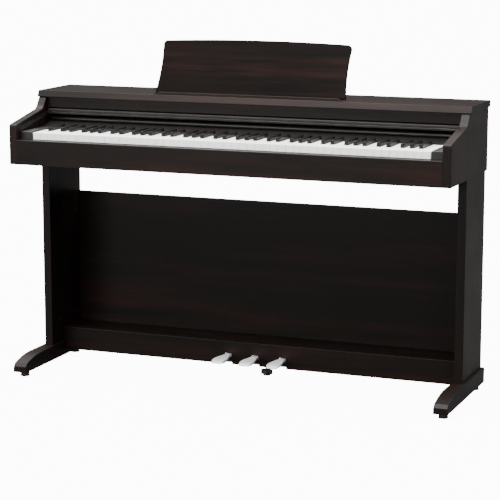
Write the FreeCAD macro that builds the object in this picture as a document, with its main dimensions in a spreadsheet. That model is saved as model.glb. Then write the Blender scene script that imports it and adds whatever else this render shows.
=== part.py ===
import FreeCAD, Part
import Sketcher
import os
import re

# Digital piano on its stand.  X runs along the keyboard, to the player's right.  Y runs from the
# player (-Y) to the back (+Y).  Z is up, and Z = 0 is the floor.  The origin is under the middle.
# Lengths are millimetres and angles are degrees.

doc = FreeCAD.newDocument("DigitalPiano")
vec = FreeCAD.Vector

# ---------------------------------------------------------------- driving sizes, kept in a sheet

sizes = {
    # overall
    "depth": 406.0,             # front of the arms to the back of the top board
    "bed_height": 653.5,        # underside of the key bed above the floor
    "cabinet_rise": 184.5,      # underside of the key bed to the underside of the top board
    # keyboard
    "white_pitch": 23.5,        # one white key and its gap
    "key_gap": 0.9,             # between two neighbouring white keys
    "key_setback": 27.0,        # front of the arms to the front of the white keys
    "key_showing": 150.0,       # length of a white key in front of the strip behind the keys
    "head_length": 50.0,        # full-width front part of a white key
    "pivot_reach": 228.0,       # front of a white key to its pivot
    "tail_reach": 13.0,         # pivot to the back end of a key
    "white_tall": 20.0,         # thickness of a key's moulding
    "white_top": 94.5,          # top of the white keys above the underside of the key bed
    "black_rise": 12.0,         # top of the black keys above the white ones
    "black_wide": 11.0,
    "black_showing": 95.0,
    "black_nose": 5.0,          # how far the front of a black key leans back
    "tail_drop": 2.0,           # top of a black key's tail below the white tops
    "pivot_round": 4.0,         # radius of the pivot rail's crown
    "pivot_play": 0.05,
    "key_round": 0.8,
    "black_round": 1.6,
    "black_back": 5.0,          # back of a black key's top in front of the strip
    "frame_sheet": 1.5,
    "frame_setback": 8.0,       # front of the white keys to the front of the key frame
    "frame_behind": 11.0,       # pivot to the back of the key frame
    "beam_reach": 8.0,          # half the width of the frame's cap under the pivot
    "beam_drop": 8.0,           # the cap below the keys
    "neck_thick": 4.0,
    "stop_place": 35.0,         # front of the white keys to the felt that stops them
    "stop_drop": 9.0,           # felt below the keys at rest
    "felt_wide": 10.0,
    "felt_thick": 3.0,
    "contact_place": 127.0,     # front of the white keys to the middle of the contact board
    "contact_drop": 34.0,
    "contact_wide": 65.0,
    "contact_end": 4.0,         # end of the contact board in from the end of the keyboard
    # cabinet
    "top_thick": 19.0,
    "top_overhang": 3.9,        # top board beyond the side panels
    "top_setback": 198.3,       # front of the arms to the upper front edge of the top board
    "top_bevel": 9.8,           # how far the top board's lower front edge stands out
    "side_thick": 24.6,
    "back_inset": 6.5,          # back face of the side panels in from the back of the top board
    "back_thick": 12.0,
    "bed_thick": 15.0,
    "slip_tall": 73.5,
    "slip_thick": 20.0,
    "arm_rise": 118.5,          # top of the arm's tip above the underside of the key bed
    "arm_slope": 10.6,          # fall of the arm's top and of the key cover's path
    "scoop_slope": 54.8,        # steep run under the top board's front edge
    "scoop_setback": 193.0,     # front of the arms to the top of the steep run
    "scoop_round": 28.0,
    "arm_tip_round": 8.0,
    "edge_round": 1.2,
    "cheek_wide": 38.0,
    "cheek_rise": 96.5,         # top of the cheek blocks above the underside of the key bed
    "cheek_wall": 4.0,
    "cheek_play": 3.0,          # end of the keyboard to a cheek block
    "cheek_setback": 3.0,       # front of the white keys to the front of a cheek block
    "cheek_strip_gap": 1.0,     # back of a cheek block to the strip
    "cheek_round": 3.0,
    # fascia above the keys
    "name_setback": 203.0,      # front of the arms to the front of the name panel
    "name_thick": 12.0,
    "name_tall": 32.5,
    "fascia_rise": 109.5,       # underside of the fascia rail above the underside of the key bed
    "fascia_tall": 14.0,
    "fascia_deep": 24.0,
    "fascia_setback": 219.0,
    "fascia_round": 6.5,
    "strip_lift": 1.7,          # strip behind the keys above the white tops
    "strip_lip": 1.8,
    "strip_proud": 2.0,         # top of the strip in front of the fascia rail
    "strip_thick": 6.0,
    # sliding key cover
    "cover_thick": 6.0,
    "cover_side_play": 1.5,
    "cover_back_play": 10.0,    # back edge of the cover to the back of the cabinet, and to the top
    "cover_over": 0.72,         # front rail, pulled out, in front of the white keys
    "rail_tall": 17.0,
    "rail_deep": 14.0,
    "rail_gap": 1.5,            # cover's front rail below the name panel
    "rail_proud": 2.0,          # cover's front rail in front of the name panel
    "rail_lift": 2.5,           # middle of the rail above the middle of the cover
    "rail_groove": 3.0,
    "groove_deep": 1.5,
    "rail_round": 3.0,
    "guide_deep": 5.0,
    "guide_tall": 10.0,
    "guide_wall": 1.2,
    "guide_spare": 2.0,         # guide beyond the shoes at either end
    "shoe_play": 0.3,
    "shoe_long": 14.0,
    "shoe_root": 6.0,           # how far a shoe reaches into the cover
    # music rest
    "rest_wide": 598.0,         # at the bottom corners
    "rest_waist": 6.0,          # how far each side curves in
    "rest_crown": 7.0,          # how far the top edge curves up
    "rest_up": 165.0,           # hinge axis to the top of the middle, along the rest
    "rest_down": 5.0,           # hinge axis to the bottom edge, along the rest
    "rest_thick": 10.0,
    "rest_stand": 4.0,          # back of the rest in front of the hinge axis
    "rest_lean": 23.0,          # from vertical
    "rest_corner": 12.0,
    "hinge_lift": 5.0,          # hinge axis above the top board
    "hinge_back": 171.0,        # hinge axis in front of the back edge of the top board
    "stay_reach": 82.0,         # hinge axis to the stay's pivot, and the stay's own length
    "stay_bar": 6.0,
    "stay_place": 200.0,        # stays to the left and right of the middle
    "pin_round": 1.5,
    "pin_play": 0.05,
    "slot_play": 0.3,
    "slot_spare": 1.0,          # slot beyond the slider at either end of its run
    "plate": 1.5,               # thickness of the hinge plates
    "track_wall": 2.0,
    "track_front": 4.0,         # wall of a track in front of its slot
    "track_behind": 2.5,
    "track_gap": 8.0,           # between the two walls, where the stay runs
    "wall_drop": 0.5,           # top of the walls below the back of the folded rest
    "stay_clear": 0.2,          # stay's flat narrower than its eyes, each side
    "hinge_pin": 2.0,
    "hinge_ear": 3.0,           # thickness and half the width of the ears on a track
    "stay_ear_gap": 1.5,        # side of a stay to the nearer ear
    "track_over": 1.5,          # base of a track beyond its outer ear
    "track_start": 8.0,         # base of a track in front of the hinge axis
    "ear_gap": 10.0,            # between the two ears, where the knuckle turns
    "ear_drop": 0.4,
    "knuckle_wide": 9.0,
    "knuckle_play": 0.3,
    "strap_place": 7.0,         # middle of a stay to the edge of its strap
    "strap_wide": 20.0,
    "strap_thick": 2.0,
    "strap_low": 6.0,
    "strap_over": 10.0,         # strap beyond the stay's pivot
    "stay_ear": 4.0,            # half the height of the strap's ear for the stay
    "stay_ear_deep": 6.5,
    "rivet_over": 1.5,          # rivet beyond the ear
    "slider_over": 1.0,         # slider beyond the walls of the track, each side
    "ledge_tall": 8.0,
    "ledge_deep": 9.0,
    "ledge_taper": 19.0,
    "ledge_setback": 3.0,       # upper front edge of the top board to the ledge
    "ledge_over": 1.0,          # end of the ledge beyond the rest
    # stand
    "leg_thick": 25.6,
    "leg_inset": 5.6,           # outer face of a leg inside the outer face of a side panel
    "leg_deep": 210.2,
    "leg_back": 5.5,            # back of a leg in from the back of the top board
    "foot_lift": 17.0,          # height of the pads
    "foot_tall": 44.0,
    "foot_wide": 42.5,
    "foot_nose": 18.0,          # vertical front face of a foot
    "foot_bevel": 10.0,
    "foot_ramp": 53.0,
    "foot_round": 300.0,
    "foot_out": 3.9,            # outer face of a foot outside the side panels
    "foot_edge": 2.0,
    "pad_round": 14.0,
    "pad_inset": 34.0,
    "board_thick": 12.0,
    "board_top": 522.5,
    # pedal unit
    "pedal_board_lift": 33.0,
    "pedal_board_tall": 72.0,
    "pedal_board_thick": 15.0,
    "pedal_unit_deep": 114.5,   # front of the pedal board to the back board
    "pedal_pitch": 88.0,
    "pedal_board_play": 0.3,    # pedal board to the inner faces of the feet
    "pedal_notch": 27.0,
    "notch_tall": 35.0,
    "notch_round": 6.0,
    "pedal_wide": 40.0,
    "pedal_neck": 20.0,
    "pedal_thick": 8.0,
    "pedal_crown": 7.0,         # top of a pedal above its axis
    "pedal_hub": 9.0,           # half the height of the hub round the axle
    "hub_reach": 10.0,          # half the length of the hub
    "tip_drop": 5.0,            # tip's top below the rest of the pedal
    "tip_thick": 5.0,
    "tip_long": 26.0,
    "tip_under": 24.0,          # the same along the underside
    "hub_foot": 14.0,           # axle to where the hub runs into the pedal
    "neck_long": 64.0,          # axle to where the neck starts to widen
    "pad_long": 32.0,           # full-width front part of a pedal
    "tip_flat": 8.0,            # straight part of a pedal's front edge
    "pedal_edge": 1.5,
    "pedal_axis_lift": 57.0,
    "pedal_axis_back": 50.0,    # pedal board's front to the pedals' axis
    "pedal_reach": 141.0,       # pedal tip to the pedals' axis
    "axle_round": 4.0,
    "axle_play": 0.05,
    "base_plate": 3.0,
    "base_wide": 300.0,
    "base_front": 7.0,          # back of the pedal board to the base
    "base_behind": 6.0,         # base to the back board
    "ear_clear": 1.5,           # pedal's neck to its left ear
    "spring_room": 7.5,         # pedal's neck to its right ear, with the spring between
    "ear_half": 10.0,
    "spring_wire": 1.5,
    "spring_turns": 3,
    "spring_play": 0.6,
    "bolt_knob": 18.0,          # middle of the knob to the end of a lobe
    "bolt_lobe": 7.0,
    "bolt_foot": 11.0,
    "bolt_hub": 13.0,
    "bolt_sole": 2.0,           # knob above the floor
    "knob_high": 16.0,
    "stud_start": 10.0,
    "stud_long": 48.0,
    "bolt_place": 26.0,
    "bolt_behind": 19.0,        # back of the pedal board to the bolt
    # sound and electronics
    "speaker_round": 54.0,
    "speaker_rim": 6.0,         # flange that sits on the key bed round its opening
    "flange_thick": 3.0,
    "cone_inset": 8.0,          # edge of the cone in from the speaker's rim
    "cone_edge": 1.0,
    "magnet_round": 34.0,
    "magnet_low": 22.0,
    "magnet_top": 40.0,
    "dome_rise": 16.0,
    "speaker_inset": 222.0,     # inner face of a side panel to the speaker's axis
    "speaker_back": 77.0,       # speaker axis in front of the back edge of the top board
    "grille_thick": 3.0,
    "grille_over": 4.0,         # grille beyond the speaker
    "grille_pitch": 9.0,
    "grille_slot": 4.0,
    "grille_rim": 10.0,         # end of the middle slot in from the speaker's rim
    "grille_step": 3.0,         # how much sooner each next slot ends
    "jack_round": 5.5,
    "jack_bore": 3.2,
    "jack_inset": 62.0,         # inner face of the left side panel to the first jack
    "jack_pitch": 28.0,
    "jack_setback": 52.0,
    "nut_over": 2.5,
    "nut_thick": 2.0,
    "jack_floor": 3.0,          # material left behind the bore of a jack or socket
    "socket_round": 7.5,
    "socket_inset": 132.0,      # inner face of the left side panel to the first socket
    "socket_pitch": 32.0,
    "socket_rise": 40.0,
    "socket_rim": 1.5,
    "rim_over": 2.0,
    "power_bore": 2.8,
    "pedal_bore": 4.5,
    "data_bore": 5.5,
    "board_sheet": 1.6,
    "board_wide": 240.0,
    "board_deep": 76.0,
    "board_lift": 10.0,
    "post_round": 3.0,
    "post_inset": 8.0,
    "post_over": 1.0,
    # controls
    "button_play": 0.3,
    "button_long": 18.0,
    "button_deep": 10.0,
    "button_tall": 12.0,        # below the top of the cheek block
    "button_proud": 1.5,
    "collar_wide": 2.0,         # stops a button from coming out
    "collar_thick": 2.5,
    "collar_drop": 3.0,         # underside of the collar below the block's wall
    "power_round": 6.0,
    "power_place": 34.0,        # this and the next three: behind the fronts of the white keys
    "sound_place": 40.0,
    "metronome_place": 62.0,
    "knob_place": 84.0,
    "knob_travel": 20.0,        # each way from the middle
    "knob_slot": 4.0,
    "knob_stem": 3.2,
    "stem_long": 6.0,
    "stem_drop": 2.0,           # stem below the block's wall
    "slot_over": 1.0,           # slot beyond the stem at either end of its travel
    "knob_wide": 12.0,
    "knob_long": 16.0,
    "knob_tall": 3.4,
    "knob_gap": 0.4,            # knob above the block
    "knob_edge": 1.0,
    # screws
    "screw_round": 4.0,
    "screw_tall": 2.2,
    "recess_deep": 1.2,
    "recess_long": 4.4,
    "recess_wide": 1.0,
    "screw_inset": 8.0,         # screws in from the edges of the cabinet's back
    "board_screw_inset": 12.0,
    "board_screw_low": 60.0,
    "board_screw_high": 40.0,
    "cut_spare": 1.0,           # how far a cut goes beyond what it opens
}

# places worked out from the driving sizes
places = {
    "front": "-depth / 2",
    "back": "depth / 2",
    "keys_half": "26 * white_pitch",
    "side_in": "keys_half + cheek_play + cheek_wide",
    "side_out": "side_in + side_thick",
    "top_half": "side_out + top_overhang",
    "cabinet_top": "bed_height + cabinet_rise",
    "lid_top": "cabinet_top + top_thick",
    "bed_top": "bed_height + bed_thick",
    "panel_back": "back - back_inset",
    "panel_front": "panel_back - back_thick",
    "key_front": "front + key_setback",
    "key_back": "key_front + key_showing",
    "key_bottom": "bed_height + white_top - white_tall",
    "pivot_y": "key_front + pivot_reach",
    "stop_y": "key_front + stop_place",
    "contact_y": "key_front + contact_place",
    "contact_z": "key_bottom - contact_drop",
    "white_z": "bed_height + white_top",
    "slope_rise": "tan(arm_slope)",
    "tip_z": "bed_height + arm_rise",
    "scoop_y": "front + scoop_setback",
    "scoop_corner": "(cabinet_top - scoop_y * tan(scoop_slope) - tip_z + front * slope_rise)"
                    " / (slope_rise - tan(scoop_slope))",
    "name_y": "front + name_setback",
    "name_z": "cabinet_top - name_tall",
    "rail_top": "name_z - rail_gap",
    "fascia_z": "bed_height + fascia_rise",
    "fascia_y": "front + fascia_setback",
    "cheek_top": "bed_height + cheek_rise",
    "cover_half": "side_in - cover_side_play",
    "cover_y": "name_y + rail_deep - rail_proud",
    "cover_z": "rail_top - rail_tall / 2 - rail_lift",
    "room_behind": "(panel_front - cover_y) / cos(arm_slope) - cover_back_play",
    "room_below": "(cabinet_top - guide_tall - cover_z) / sin(arm_slope) - cover_back_play",
    "cover_long": "min(room_behind; room_below)",
    "cover_travel": "(cover_y - key_front + cover_over) / cos(arm_slope) - rail_deep",
    "hinge_y": "back - hinge_back",
    "hinge_z": "lid_top + hinge_lift",
    "track_half": "track_gap / 2 + track_wall",
    "ear_x": "stay_bar / 2 + stay_ear_gap",
    "knuckle_x": "ear_x + hinge_ear + (ear_gap - knuckle_wide) / 2",
    "leg_out": "side_out - leg_inset",
    "leg_in": "leg_out - leg_thick",
    "leg_y": "back - leg_back - leg_deep",
    "foot_outer": "side_out + foot_out",
    "foot_inner": "foot_outer - foot_wide",
    "foot_top": "foot_lift + foot_tall",
    "board_front": "back - back_inset - board_thick",
    "pedal_front": "board_front - pedal_unit_deep",
    "pedal_rear": "pedal_front + pedal_board_thick",
    "pedal_top": "pedal_board_lift + pedal_board_tall",
    "axis_y": "pedal_front + pedal_axis_back",
    "bolt_y": "pedal_rear + bolt_behind",
    "speaker_x": "side_in - speaker_inset",
    "speaker_y": "back - speaker_back",
    "jack_x": "jack_inset - side_in",
    "jack_y": "front + jack_setback",
    "socket_x": "socket_inset - side_in",
    "socket_z": "bed_top + socket_rise",
}

sheet = doc.addObject("Spreadsheet::Sheet", "Sizes")
for row, (name, value) in enumerate(sizes.items(), start=1):
    sheet.set(f"A{row}", name)
    sheet.set(f"B{row}", str(value))
    sheet.setAlias(f"B{row}", name)
doc.recompute()


def formula(text):
    """Write a length given in the names above as an expression on the sheet's cells."""
    def word(match):
        name = match.group(0)
        if name in places:
            return "(" + formula(places[name]) + ")"
        if name in sizes:
            return "Sizes." + name
        return name
    return re.sub(r"[a-z][a-z_]+", word, str(text))


def bind(item, **values):
    """Tie properties such as Length, or X, Y and Z of the placement, to the sheet."""
    paths = {"x": "Placement.Base.x", "y": "Placement.Base.y", "z": "Placement.Base.z",
             "turn": "Placement.Rotation.Angle"}
    for name, text in values.items():
        item.setExpression(paths.get(name, name), formula(text))


# ---------------------------------------------------------------- how pieces are made

sub_parts = []      # every piece that gets a file, in order


def name_part(item, label):
    item.Label = label
    sub_parts.append(item)
    return item


def new_body(name):
    return doc.addObject("PartDesign::Body", name)


def new_sketch(body, plane, offset="0"):
    """A sketch on one of the body's own planes, moved along the plane's normal."""
    number = len([item for item in body.Group if item.TypeId == "Sketcher::SketchObject"])
    sketch = body.newObject("Sketcher::SketchObject", f"{body.Name}_sketch{number}")
    origin_plane = [item for item in body.Origin.OriginFeatures if item.Role == plane + "_Plane"][0]
    sketch.AttachmentSupport = [(origin_plane, "")]
    sketch.MapMode = "FlatFace"
    sketch.setExpression("AttachmentOffset.Base.z", formula(offset))
    return sketch


def hold(sketch, geometry, point, across, up):
    """Fix a point of the sketch at its two distances from the origin."""
    for kind, text in (("DistanceX", across), ("DistanceY", up)):
        place = sketch.getPoint(geometry, point)
        start = place.x if kind == "DistanceX" else place.y
        number = sketch.addConstraint(Sketcher.Constraint(kind, -1, 1, geometry, point, start))
        sketch.setExpression(f"Constraints[{number}]", formula(text))


def draw_outline(sketch, corners):
    """A closed outline of straight lines through corners, each (across, up)."""
    first = sketch.GeometryCount
    count = len(corners)
    turn = FreeCAD.Rotation(vec(0, 0, 1), 360.0 / count)
    spot = vec(40, 0, 0)
    for _ in corners:
        following = turn.multVec(spot)
        sketch.addGeometry(Part.LineSegment(spot, following))
        spot = following
    for step in range(count):
        here = first + step
        after = first + (step + 1) % count
        sketch.addConstraint(Sketcher.Constraint("Coincident", here, 2, after, 1))
    for step, (across, up) in enumerate(corners):
        hold(sketch, first + step, 1, across, up)


def draw_rectangle(sketch, left, right, low, high):
    draw_outline(sketch, [(left, low), (right, low), (right, high), (left, high)])


def draw_circle(sketch, across, up, radius):
    number = sketch.addGeometry(Part.Circle(vec(1, 1, 0), vec(0, 0, 1), 5.0))
    hold(sketch, number, 3, across, up)
    ring = sketch.addConstraint(Sketcher.Constraint("Radius", number, 5.0))
    sketch.setExpression(f"Constraints[{ring}]", formula(radius))


def pad(body, sketch, length, both_ways=False):
    feature = body.newObject("PartDesign::Pad", f"{body.Name}_pad")
    feature.Profile = sketch
    feature.Midplane = both_ways
    bind(feature, Length=length)
    sketch.Visibility = False
    doc.recompute()
    return feature


def pocket(body, sketch, length=None, against=True, both_ways=False):
    """Cut a sketch out of the body; against the plane's normal unless told otherwise."""
    before = body.Shape.Volume
    feature = body.newObject("PartDesign::Pocket", f"{body.Name}_pocket")
    feature.Profile = sketch
    feature.Reversed = not against
    feature.Midplane = both_ways
    if length is None:
        feature.Type = "ThroughAll"
    else:
        bind(feature, Length=length)
    doc.recompute()
    if body.Shape.Volume > before - 0.01:
        raise RuntimeError(f"{feature.Name} removed nothing")
    return feature


def edges_where(shape, test):
    return [f"Edge{number}" for number, edge in enumerate(shape.Edges, start=1) if test(edge)]


def runs_along(edge, axis):
    """True if a straight edge is parallel to an axis."""
    if edge.Curve.TypeId != "Part::GeomLine":
        return False
    return abs(edge.Curve.Direction.dot(axis)) > 0.999


def round_off(body, radius, test):
    """Round the edges of the body that pass the test."""
    base = body.Tip
    names = edges_where(base.Shape, test)
    if not names:
        raise RuntimeError(f"{body.Name} has no edge to round")
    feature = body.newObject("PartDesign::Fillet", f"{body.Name}_round")
    feature.Base = (base, names)
    bind(feature, Radius=radius)
    doc.recompute()
    return feature


along_x = vec(1, 0, 0)
along_y = vec(0, 1, 0)
along_z = vec(0, 0, 1)


def board(label, left, right, near, far, low, high, rounding=None, keep=True):
    """A flat rectangular board with its long edges eased."""
    body = new_body(label)
    sketch = new_sketch(body, "XY", low)
    draw_rectangle(sketch, left, right, near, far)
    pad(body, sketch, f"({high}) - ({low})")
    if rounding:
        round_off(body, rounding, lambda edge: runs_along(edge, along_x))
    return name_part(body, label) if keep else body


def section_along_x(label, corners, left, right, keep=True):
    """A straight piece with one section, drawn in Y and Z, running along X."""
    body = new_body(label)
    sketch = new_sketch(body, "YZ", left)
    draw_outline(sketch, corners)
    pad(body, sketch, f"({right}) - ({left})")
    return name_part(body, label) if keep else body


def block(name, left, right, near, far, low, high):
    item = doc.addObject("Part::Box", name)
    bind(item, Length=f"({right}) - ({left})", Width=f"({far}) - ({near})", Height=f"({high}) - ({low})")
    bind(item, x=left, y=near, z=low)
    return item


def rod(name, x, y, z, radius, length, axis=along_z):
    """A cylinder that starts at a point and runs along an axis."""
    item = doc.addObject("Part::Cylinder", name)
    item.Placement = FreeCAD.Placement(vec(), FreeCAD.Rotation(along_z, axis))
    bind(item, Radius=radius, Height=length, x=x, y=y, z=z)
    return item


def joined(name, pieces):
    item = doc.addObject("Part::MultiFuse", name)
    item.Shapes = pieces
    item.Refine = True
    return item


def carved(name, base, tools):
    """The base with the tools cut out of it."""
    item = doc.addObject("Part::Cut", name)
    item.Base = base
    item.Tool = tools[0] if len(tools) == 1 else joined(name + "_tools", tools)
    return item


def grouped(label, pieces):
    item = doc.addObject("Part::Compound", label)
    item.Links = pieces
    return name_part(item, label)


def copy_of(item, name, **move):
    """The same piece again, moved from where the first one is."""
    link = doc.addObject("App::Link", name)
    link.LinkedObject = item
    link.LinkTransform = True
    bind(link, **move)
    return link


def tilt(item, angle, axis, y, z):
    """Turn a piece that is drawn in its own frame about X, then put that frame in place."""
    item.Placement = FreeCAD.Placement(vec(), FreeCAD.Rotation(axis, 1))
    bind(item, turn=angle, y=y, z=z)


# ---------------------------------------------------------------- cabinet

jack_count = 2              # headphone jacks, in the key bed
socket_bores = ("jack_bore", "jack_bore", "power_bore", "pedal_bore", "data_bore")   # in the back


def make_top_board():
    body = section_along_x("top_board", [
        ("front + top_setback", "lid_top"), ("back", "lid_top"), ("back", "cabinet_top"),
        ("front + top_setback - top_bevel", "cabinet_top")], "-top_half", "top_half")
    round_off(body, "edge_round", lambda edge: runs_along(edge, along_x))


def make_side_panel(label, side):
    """A side panel whose front is the arm beside the keys; side is -1 for left and 1 for right."""
    left = "side_in" if side > 0 else "-side_out"
    right = "side_out" if side > 0 else "-side_in"
    body = section_along_x(label, [
        ("front", "bed_height"), ("panel_back", "bed_height"), ("panel_back", "cabinet_top"),
        ("scoop_y", "cabinet_top"),
        ("scoop_corner", "tip_z + (scoop_corner - front) * slope_rise"),
        ("front", "tip_z")], left, right)
    long_edges = [edge for edge in body.Shape.Edges if runs_along(edge, along_x)]
    by_place = sorted(long_edges, key=lambda edge: edge.Vertexes[0].Point.y)
    tip = max(by_place[:2], key=lambda edge: edge.Vertexes[0].Point.z)
    scoop = by_place[2]
    for radius, wanted in (("arm_tip_round", tip), ("scoop_round", scoop)):
        spot = wanted.CenterOfMass
        round_off(body, radius, lambda edge: runs_along(edge, along_x)
                  and (edge.CenterOfMass - spot).Length < 0.1)
    crown = body.Shape.BoundBox.ZMax - 1
    round_off(body, "edge_round", lambda edge: not runs_along(edge, along_x)
              and edge.BoundBox.ZMin < crown and edge.BoundBox.YMin < body.Shape.BoundBox.YMax - 1
              and edge.BoundBox.ZMax > body.Shape.BoundBox.ZMin + 1)
    # routed groove for the cover's guide, along the cover's path
    groove = new_sketch(body, "YZ", "side_in" if side > 0 else "-side_in")
    draw_outline(groove, guide_corners("guide_tall / 2"))
    pocket(body, groove, "guide_deep", against=side < 0)


def guide_corners(half):
    """Corners of a strip along the key cover's path, half its height each way."""
    start = "(0 - cover_travel - shoe_long - guide_spare)"
    end = "(cover_long + guide_spare)"
    corners = []
    for along, rise in ((start, f"-({half})"), (end, f"-({half})"), (end, f"({half})"),
                        (start, f"({half})")):
        across = f"cover_y + {along} * cos(arm_slope) - ({rise}) * sin(arm_slope)"
        up = f"cover_z + {along} * sin(arm_slope) + ({rise}) * cos(arm_slope)"
        corners.append((across, up))
    return corners


def make_cover_guides():
    """Plastic channels that line the grooves in the two side panels."""
    channels = []
    for name, side in (("left_guide", -1), ("right_guide", 1)):
        left = "side_in" if side > 0 else "-side_in - guide_deep"
        body = section_along_x(name, guide_corners("guide_tall / 2"), left,
                               f"{left} + guide_deep", keep=False)
        slot = new_sketch(body, "YZ", "side_in" if side > 0 else "-side_in")
        draw_outline(slot, guide_corners("guide_tall / 2 - guide_wall"))
        pocket(body, slot, "guide_deep - guide_wall", against=side < 0)
        channels.append(body)
    grouped("cover_guides", channels)


def make_key_bed():
    body = board("key_bed", "-side_in", "side_in", "front + slip_thick", "panel_front",
                 "bed_height", "bed_top")
    holes = new_sketch(body, "XY", "bed_height")
    for side in (-1, 1):
        draw_circle(holes, f"{side} * speaker_x", "speaker_y", "speaker_round - speaker_rim")
    for number in range(jack_count):
        draw_circle(holes, f"jack_x + {number} * jack_pitch", "jack_y", "jack_round")
    pocket(body, holes, "bed_thick + cut_spare", against=False)


def make_key_slip():
    body = board("key_slip", "-side_in", "side_in", "front", "front + slip_thick", "bed_height",
                 "bed_height + slip_tall")
    top = body.Shape.BoundBox.ZMax
    round_off(body, "2 * edge_round", lambda edge: runs_along(edge, along_x)
              and edge.CenterOfMass.z > top - 0.1)


def make_cabinet_back():
    body = board("cabinet_back", "-side_in", "side_in", "panel_front", "panel_back", "bed_height",
                 "cabinet_top")
    holes = new_sketch(body, "XZ", "-panel_front")
    for number in range(len(socket_bores)):
        draw_circle(holes, f"socket_x + {number} * socket_pitch", "socket_z", "socket_round")
    pocket(body, holes, "back_thick + cut_spare")


def make_fascia():
    board("name_panel", "-side_in", "side_in", "name_y", "name_y + name_thick", "name_z",
          "cabinet_top", "edge_round")
    rail = board("fascia_rail", "-side_in", "side_in", "fascia_y", "fascia_y + fascia_deep",
                 "fascia_z", "fascia_z + fascia_tall")
    nose = rail.Shape.BoundBox.YMin
    round_off(rail, "fascia_round", lambda edge: runs_along(edge, along_x)
              and edge.CenterOfMass.y < nose + 0.1)
    section_along_x("key_back_strip", [
        ("key_back", "white_z + strip_lift"), ("key_back", "white_z + strip_lift + strip_lip"),
        ("fascia_y - strip_proud", "fascia_z"), ("fascia_y + fascia_deep", "fascia_z"),
        ("fascia_y + fascia_deep", "fascia_z - strip_thick"), ("fascia_y", "fascia_z - strip_thick")],
        "-side_in", "side_in")


def make_cheek_blocks():
    """Hollow blocks at the two ends of the keys; the controls stand in their tops."""
    blocks = []
    near = "key_front + cheek_setback"
    far = "key_back - cheek_strip_gap"
    for name, side in (("left_cheek", -1), ("right_cheek", 1)):
        left = "side_in - cheek_wide" if side > 0 else "-side_in"
        middle = f"{left} + cheek_wide / 2"
        body = board(name, left, f"{left} + cheek_wide", near, far, "bed_top", "cheek_top", keep=False)
        box = body.Shape.BoundBox
        round_off(body, "cheek_round", lambda edge: runs_along(edge, along_x)
                  and edge.CenterOfMass.z > box.ZMax - 0.1 and edge.CenterOfMass.y < box.YMin + 0.1)
        hollow = new_sketch(body, "XY", "bed_top")
        draw_rectangle(hollow, f"{left} + cheek_wall", f"{left} + cheek_wide - cheek_wall",
                       f"{near} + cheek_wall", f"{far} - cheek_wall")
        pocket(body, hollow, "cheek_top - bed_top - cheek_wall", against=False)
        holes = new_sketch(body, "XY", "cheek_top")
        if side < 0:
            for place in long_buttons.values():
                draw_rectangle(holes, f"{middle} - button_long / 2 - button_play",
                               f"{middle} + button_long / 2 + button_play",
                               f"key_front + {place} - button_deep / 2 - button_play",
                               f"key_front + {place} + button_deep / 2 + button_play")
        else:
            draw_circle(holes, middle, "key_front + power_place", "power_round + button_play")
            draw_rectangle(holes, f"{middle} - knob_slot / 2", f"{middle} + knob_slot / 2",
                           "key_front + knob_place - knob_travel - stem_long / 2 - slot_over",
                           "key_front + knob_place + knob_travel + stem_long / 2 + slot_over")
        pocket(body, holes, "cheek_wall + cut_spare")
        blocks.append(body)
    grouped("cheek_blocks", blocks)


# ---------------------------------------------------------------- controls

long_buttons = {"sound_button": "sound_place", "metronome_button": "metronome_place"}


def make_button(label, draw):
    """A button with a collar under the block; draw puts its outline, widened, in a sketch."""
    body = new_body(label)
    cap = new_sketch(body, "XY", "cheek_top - button_tall")
    draw(cap, "0")
    pad(body, cap, "button_tall + button_proud")
    round_off(body, "edge_round", lambda edge: edge.BoundBox.ZMin > body.Shape.BoundBox.ZMax - 0.1)
    collar = new_sketch(body, "XY", "cheek_top - cheek_wall - collar_drop")
    draw(collar, "collar_wide")
    pad(body, collar, "collar_thick")
    name_part(body, label)


def make_controls():
    left_middle = "cheek_wide / 2 - side_in"
    right_middle = "side_in - cheek_wide / 2"
    for label, place in long_buttons.items():
        make_button(label, lambda sketch, wider: draw_rectangle(
            sketch, f"{left_middle} - button_long / 2 - {wider}",
            f"{left_middle} + button_long / 2 + {wider}",
            f"key_front + {place} - button_deep / 2 - {wider}",
            f"key_front + {place} + button_deep / 2 + {wider}"))
    make_button("power_button", lambda sketch, wider: draw_circle(
        sketch, right_middle, "key_front + power_place", f"power_round + {wider}"))
    knob = new_body("volume_slider")
    middle = "key_front + knob_place"
    stem = new_sketch(knob, "XY", "cheek_top - cheek_wall - stem_drop")
    draw_rectangle(stem, f"{right_middle} - knob_stem / 2", f"{right_middle} + knob_stem / 2",
                   f"{middle} - stem_long / 2", f"{middle} + stem_long / 2")
    pad(knob, stem, "cheek_wall + stem_drop + knob_gap + knob_tall / 2")
    cap = new_sketch(knob, "XY", "cheek_top + knob_gap")
    draw_rectangle(cap, f"{right_middle} - knob_wide / 2", f"{right_middle} + knob_wide / 2",
                   f"{middle} - knob_long / 2", f"{middle} + knob_long / 2")
    pad(knob, cap, "knob_tall")
    round_off(knob, "knob_edge", lambda edge: edge.BoundBox.ZMin > knob.Shape.BoundBox.ZMax - 0.1)
    name_part(knob, "volume_slider")


# ---------------------------------------------------------------- keyboard

group_of_three = "3 * white_pitch / 5"      # tail width in C to E, five tails to three whites
group_of_four = "4 * white_pitch / 7"       # tail width in F to B, seven tails to four whites

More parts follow.
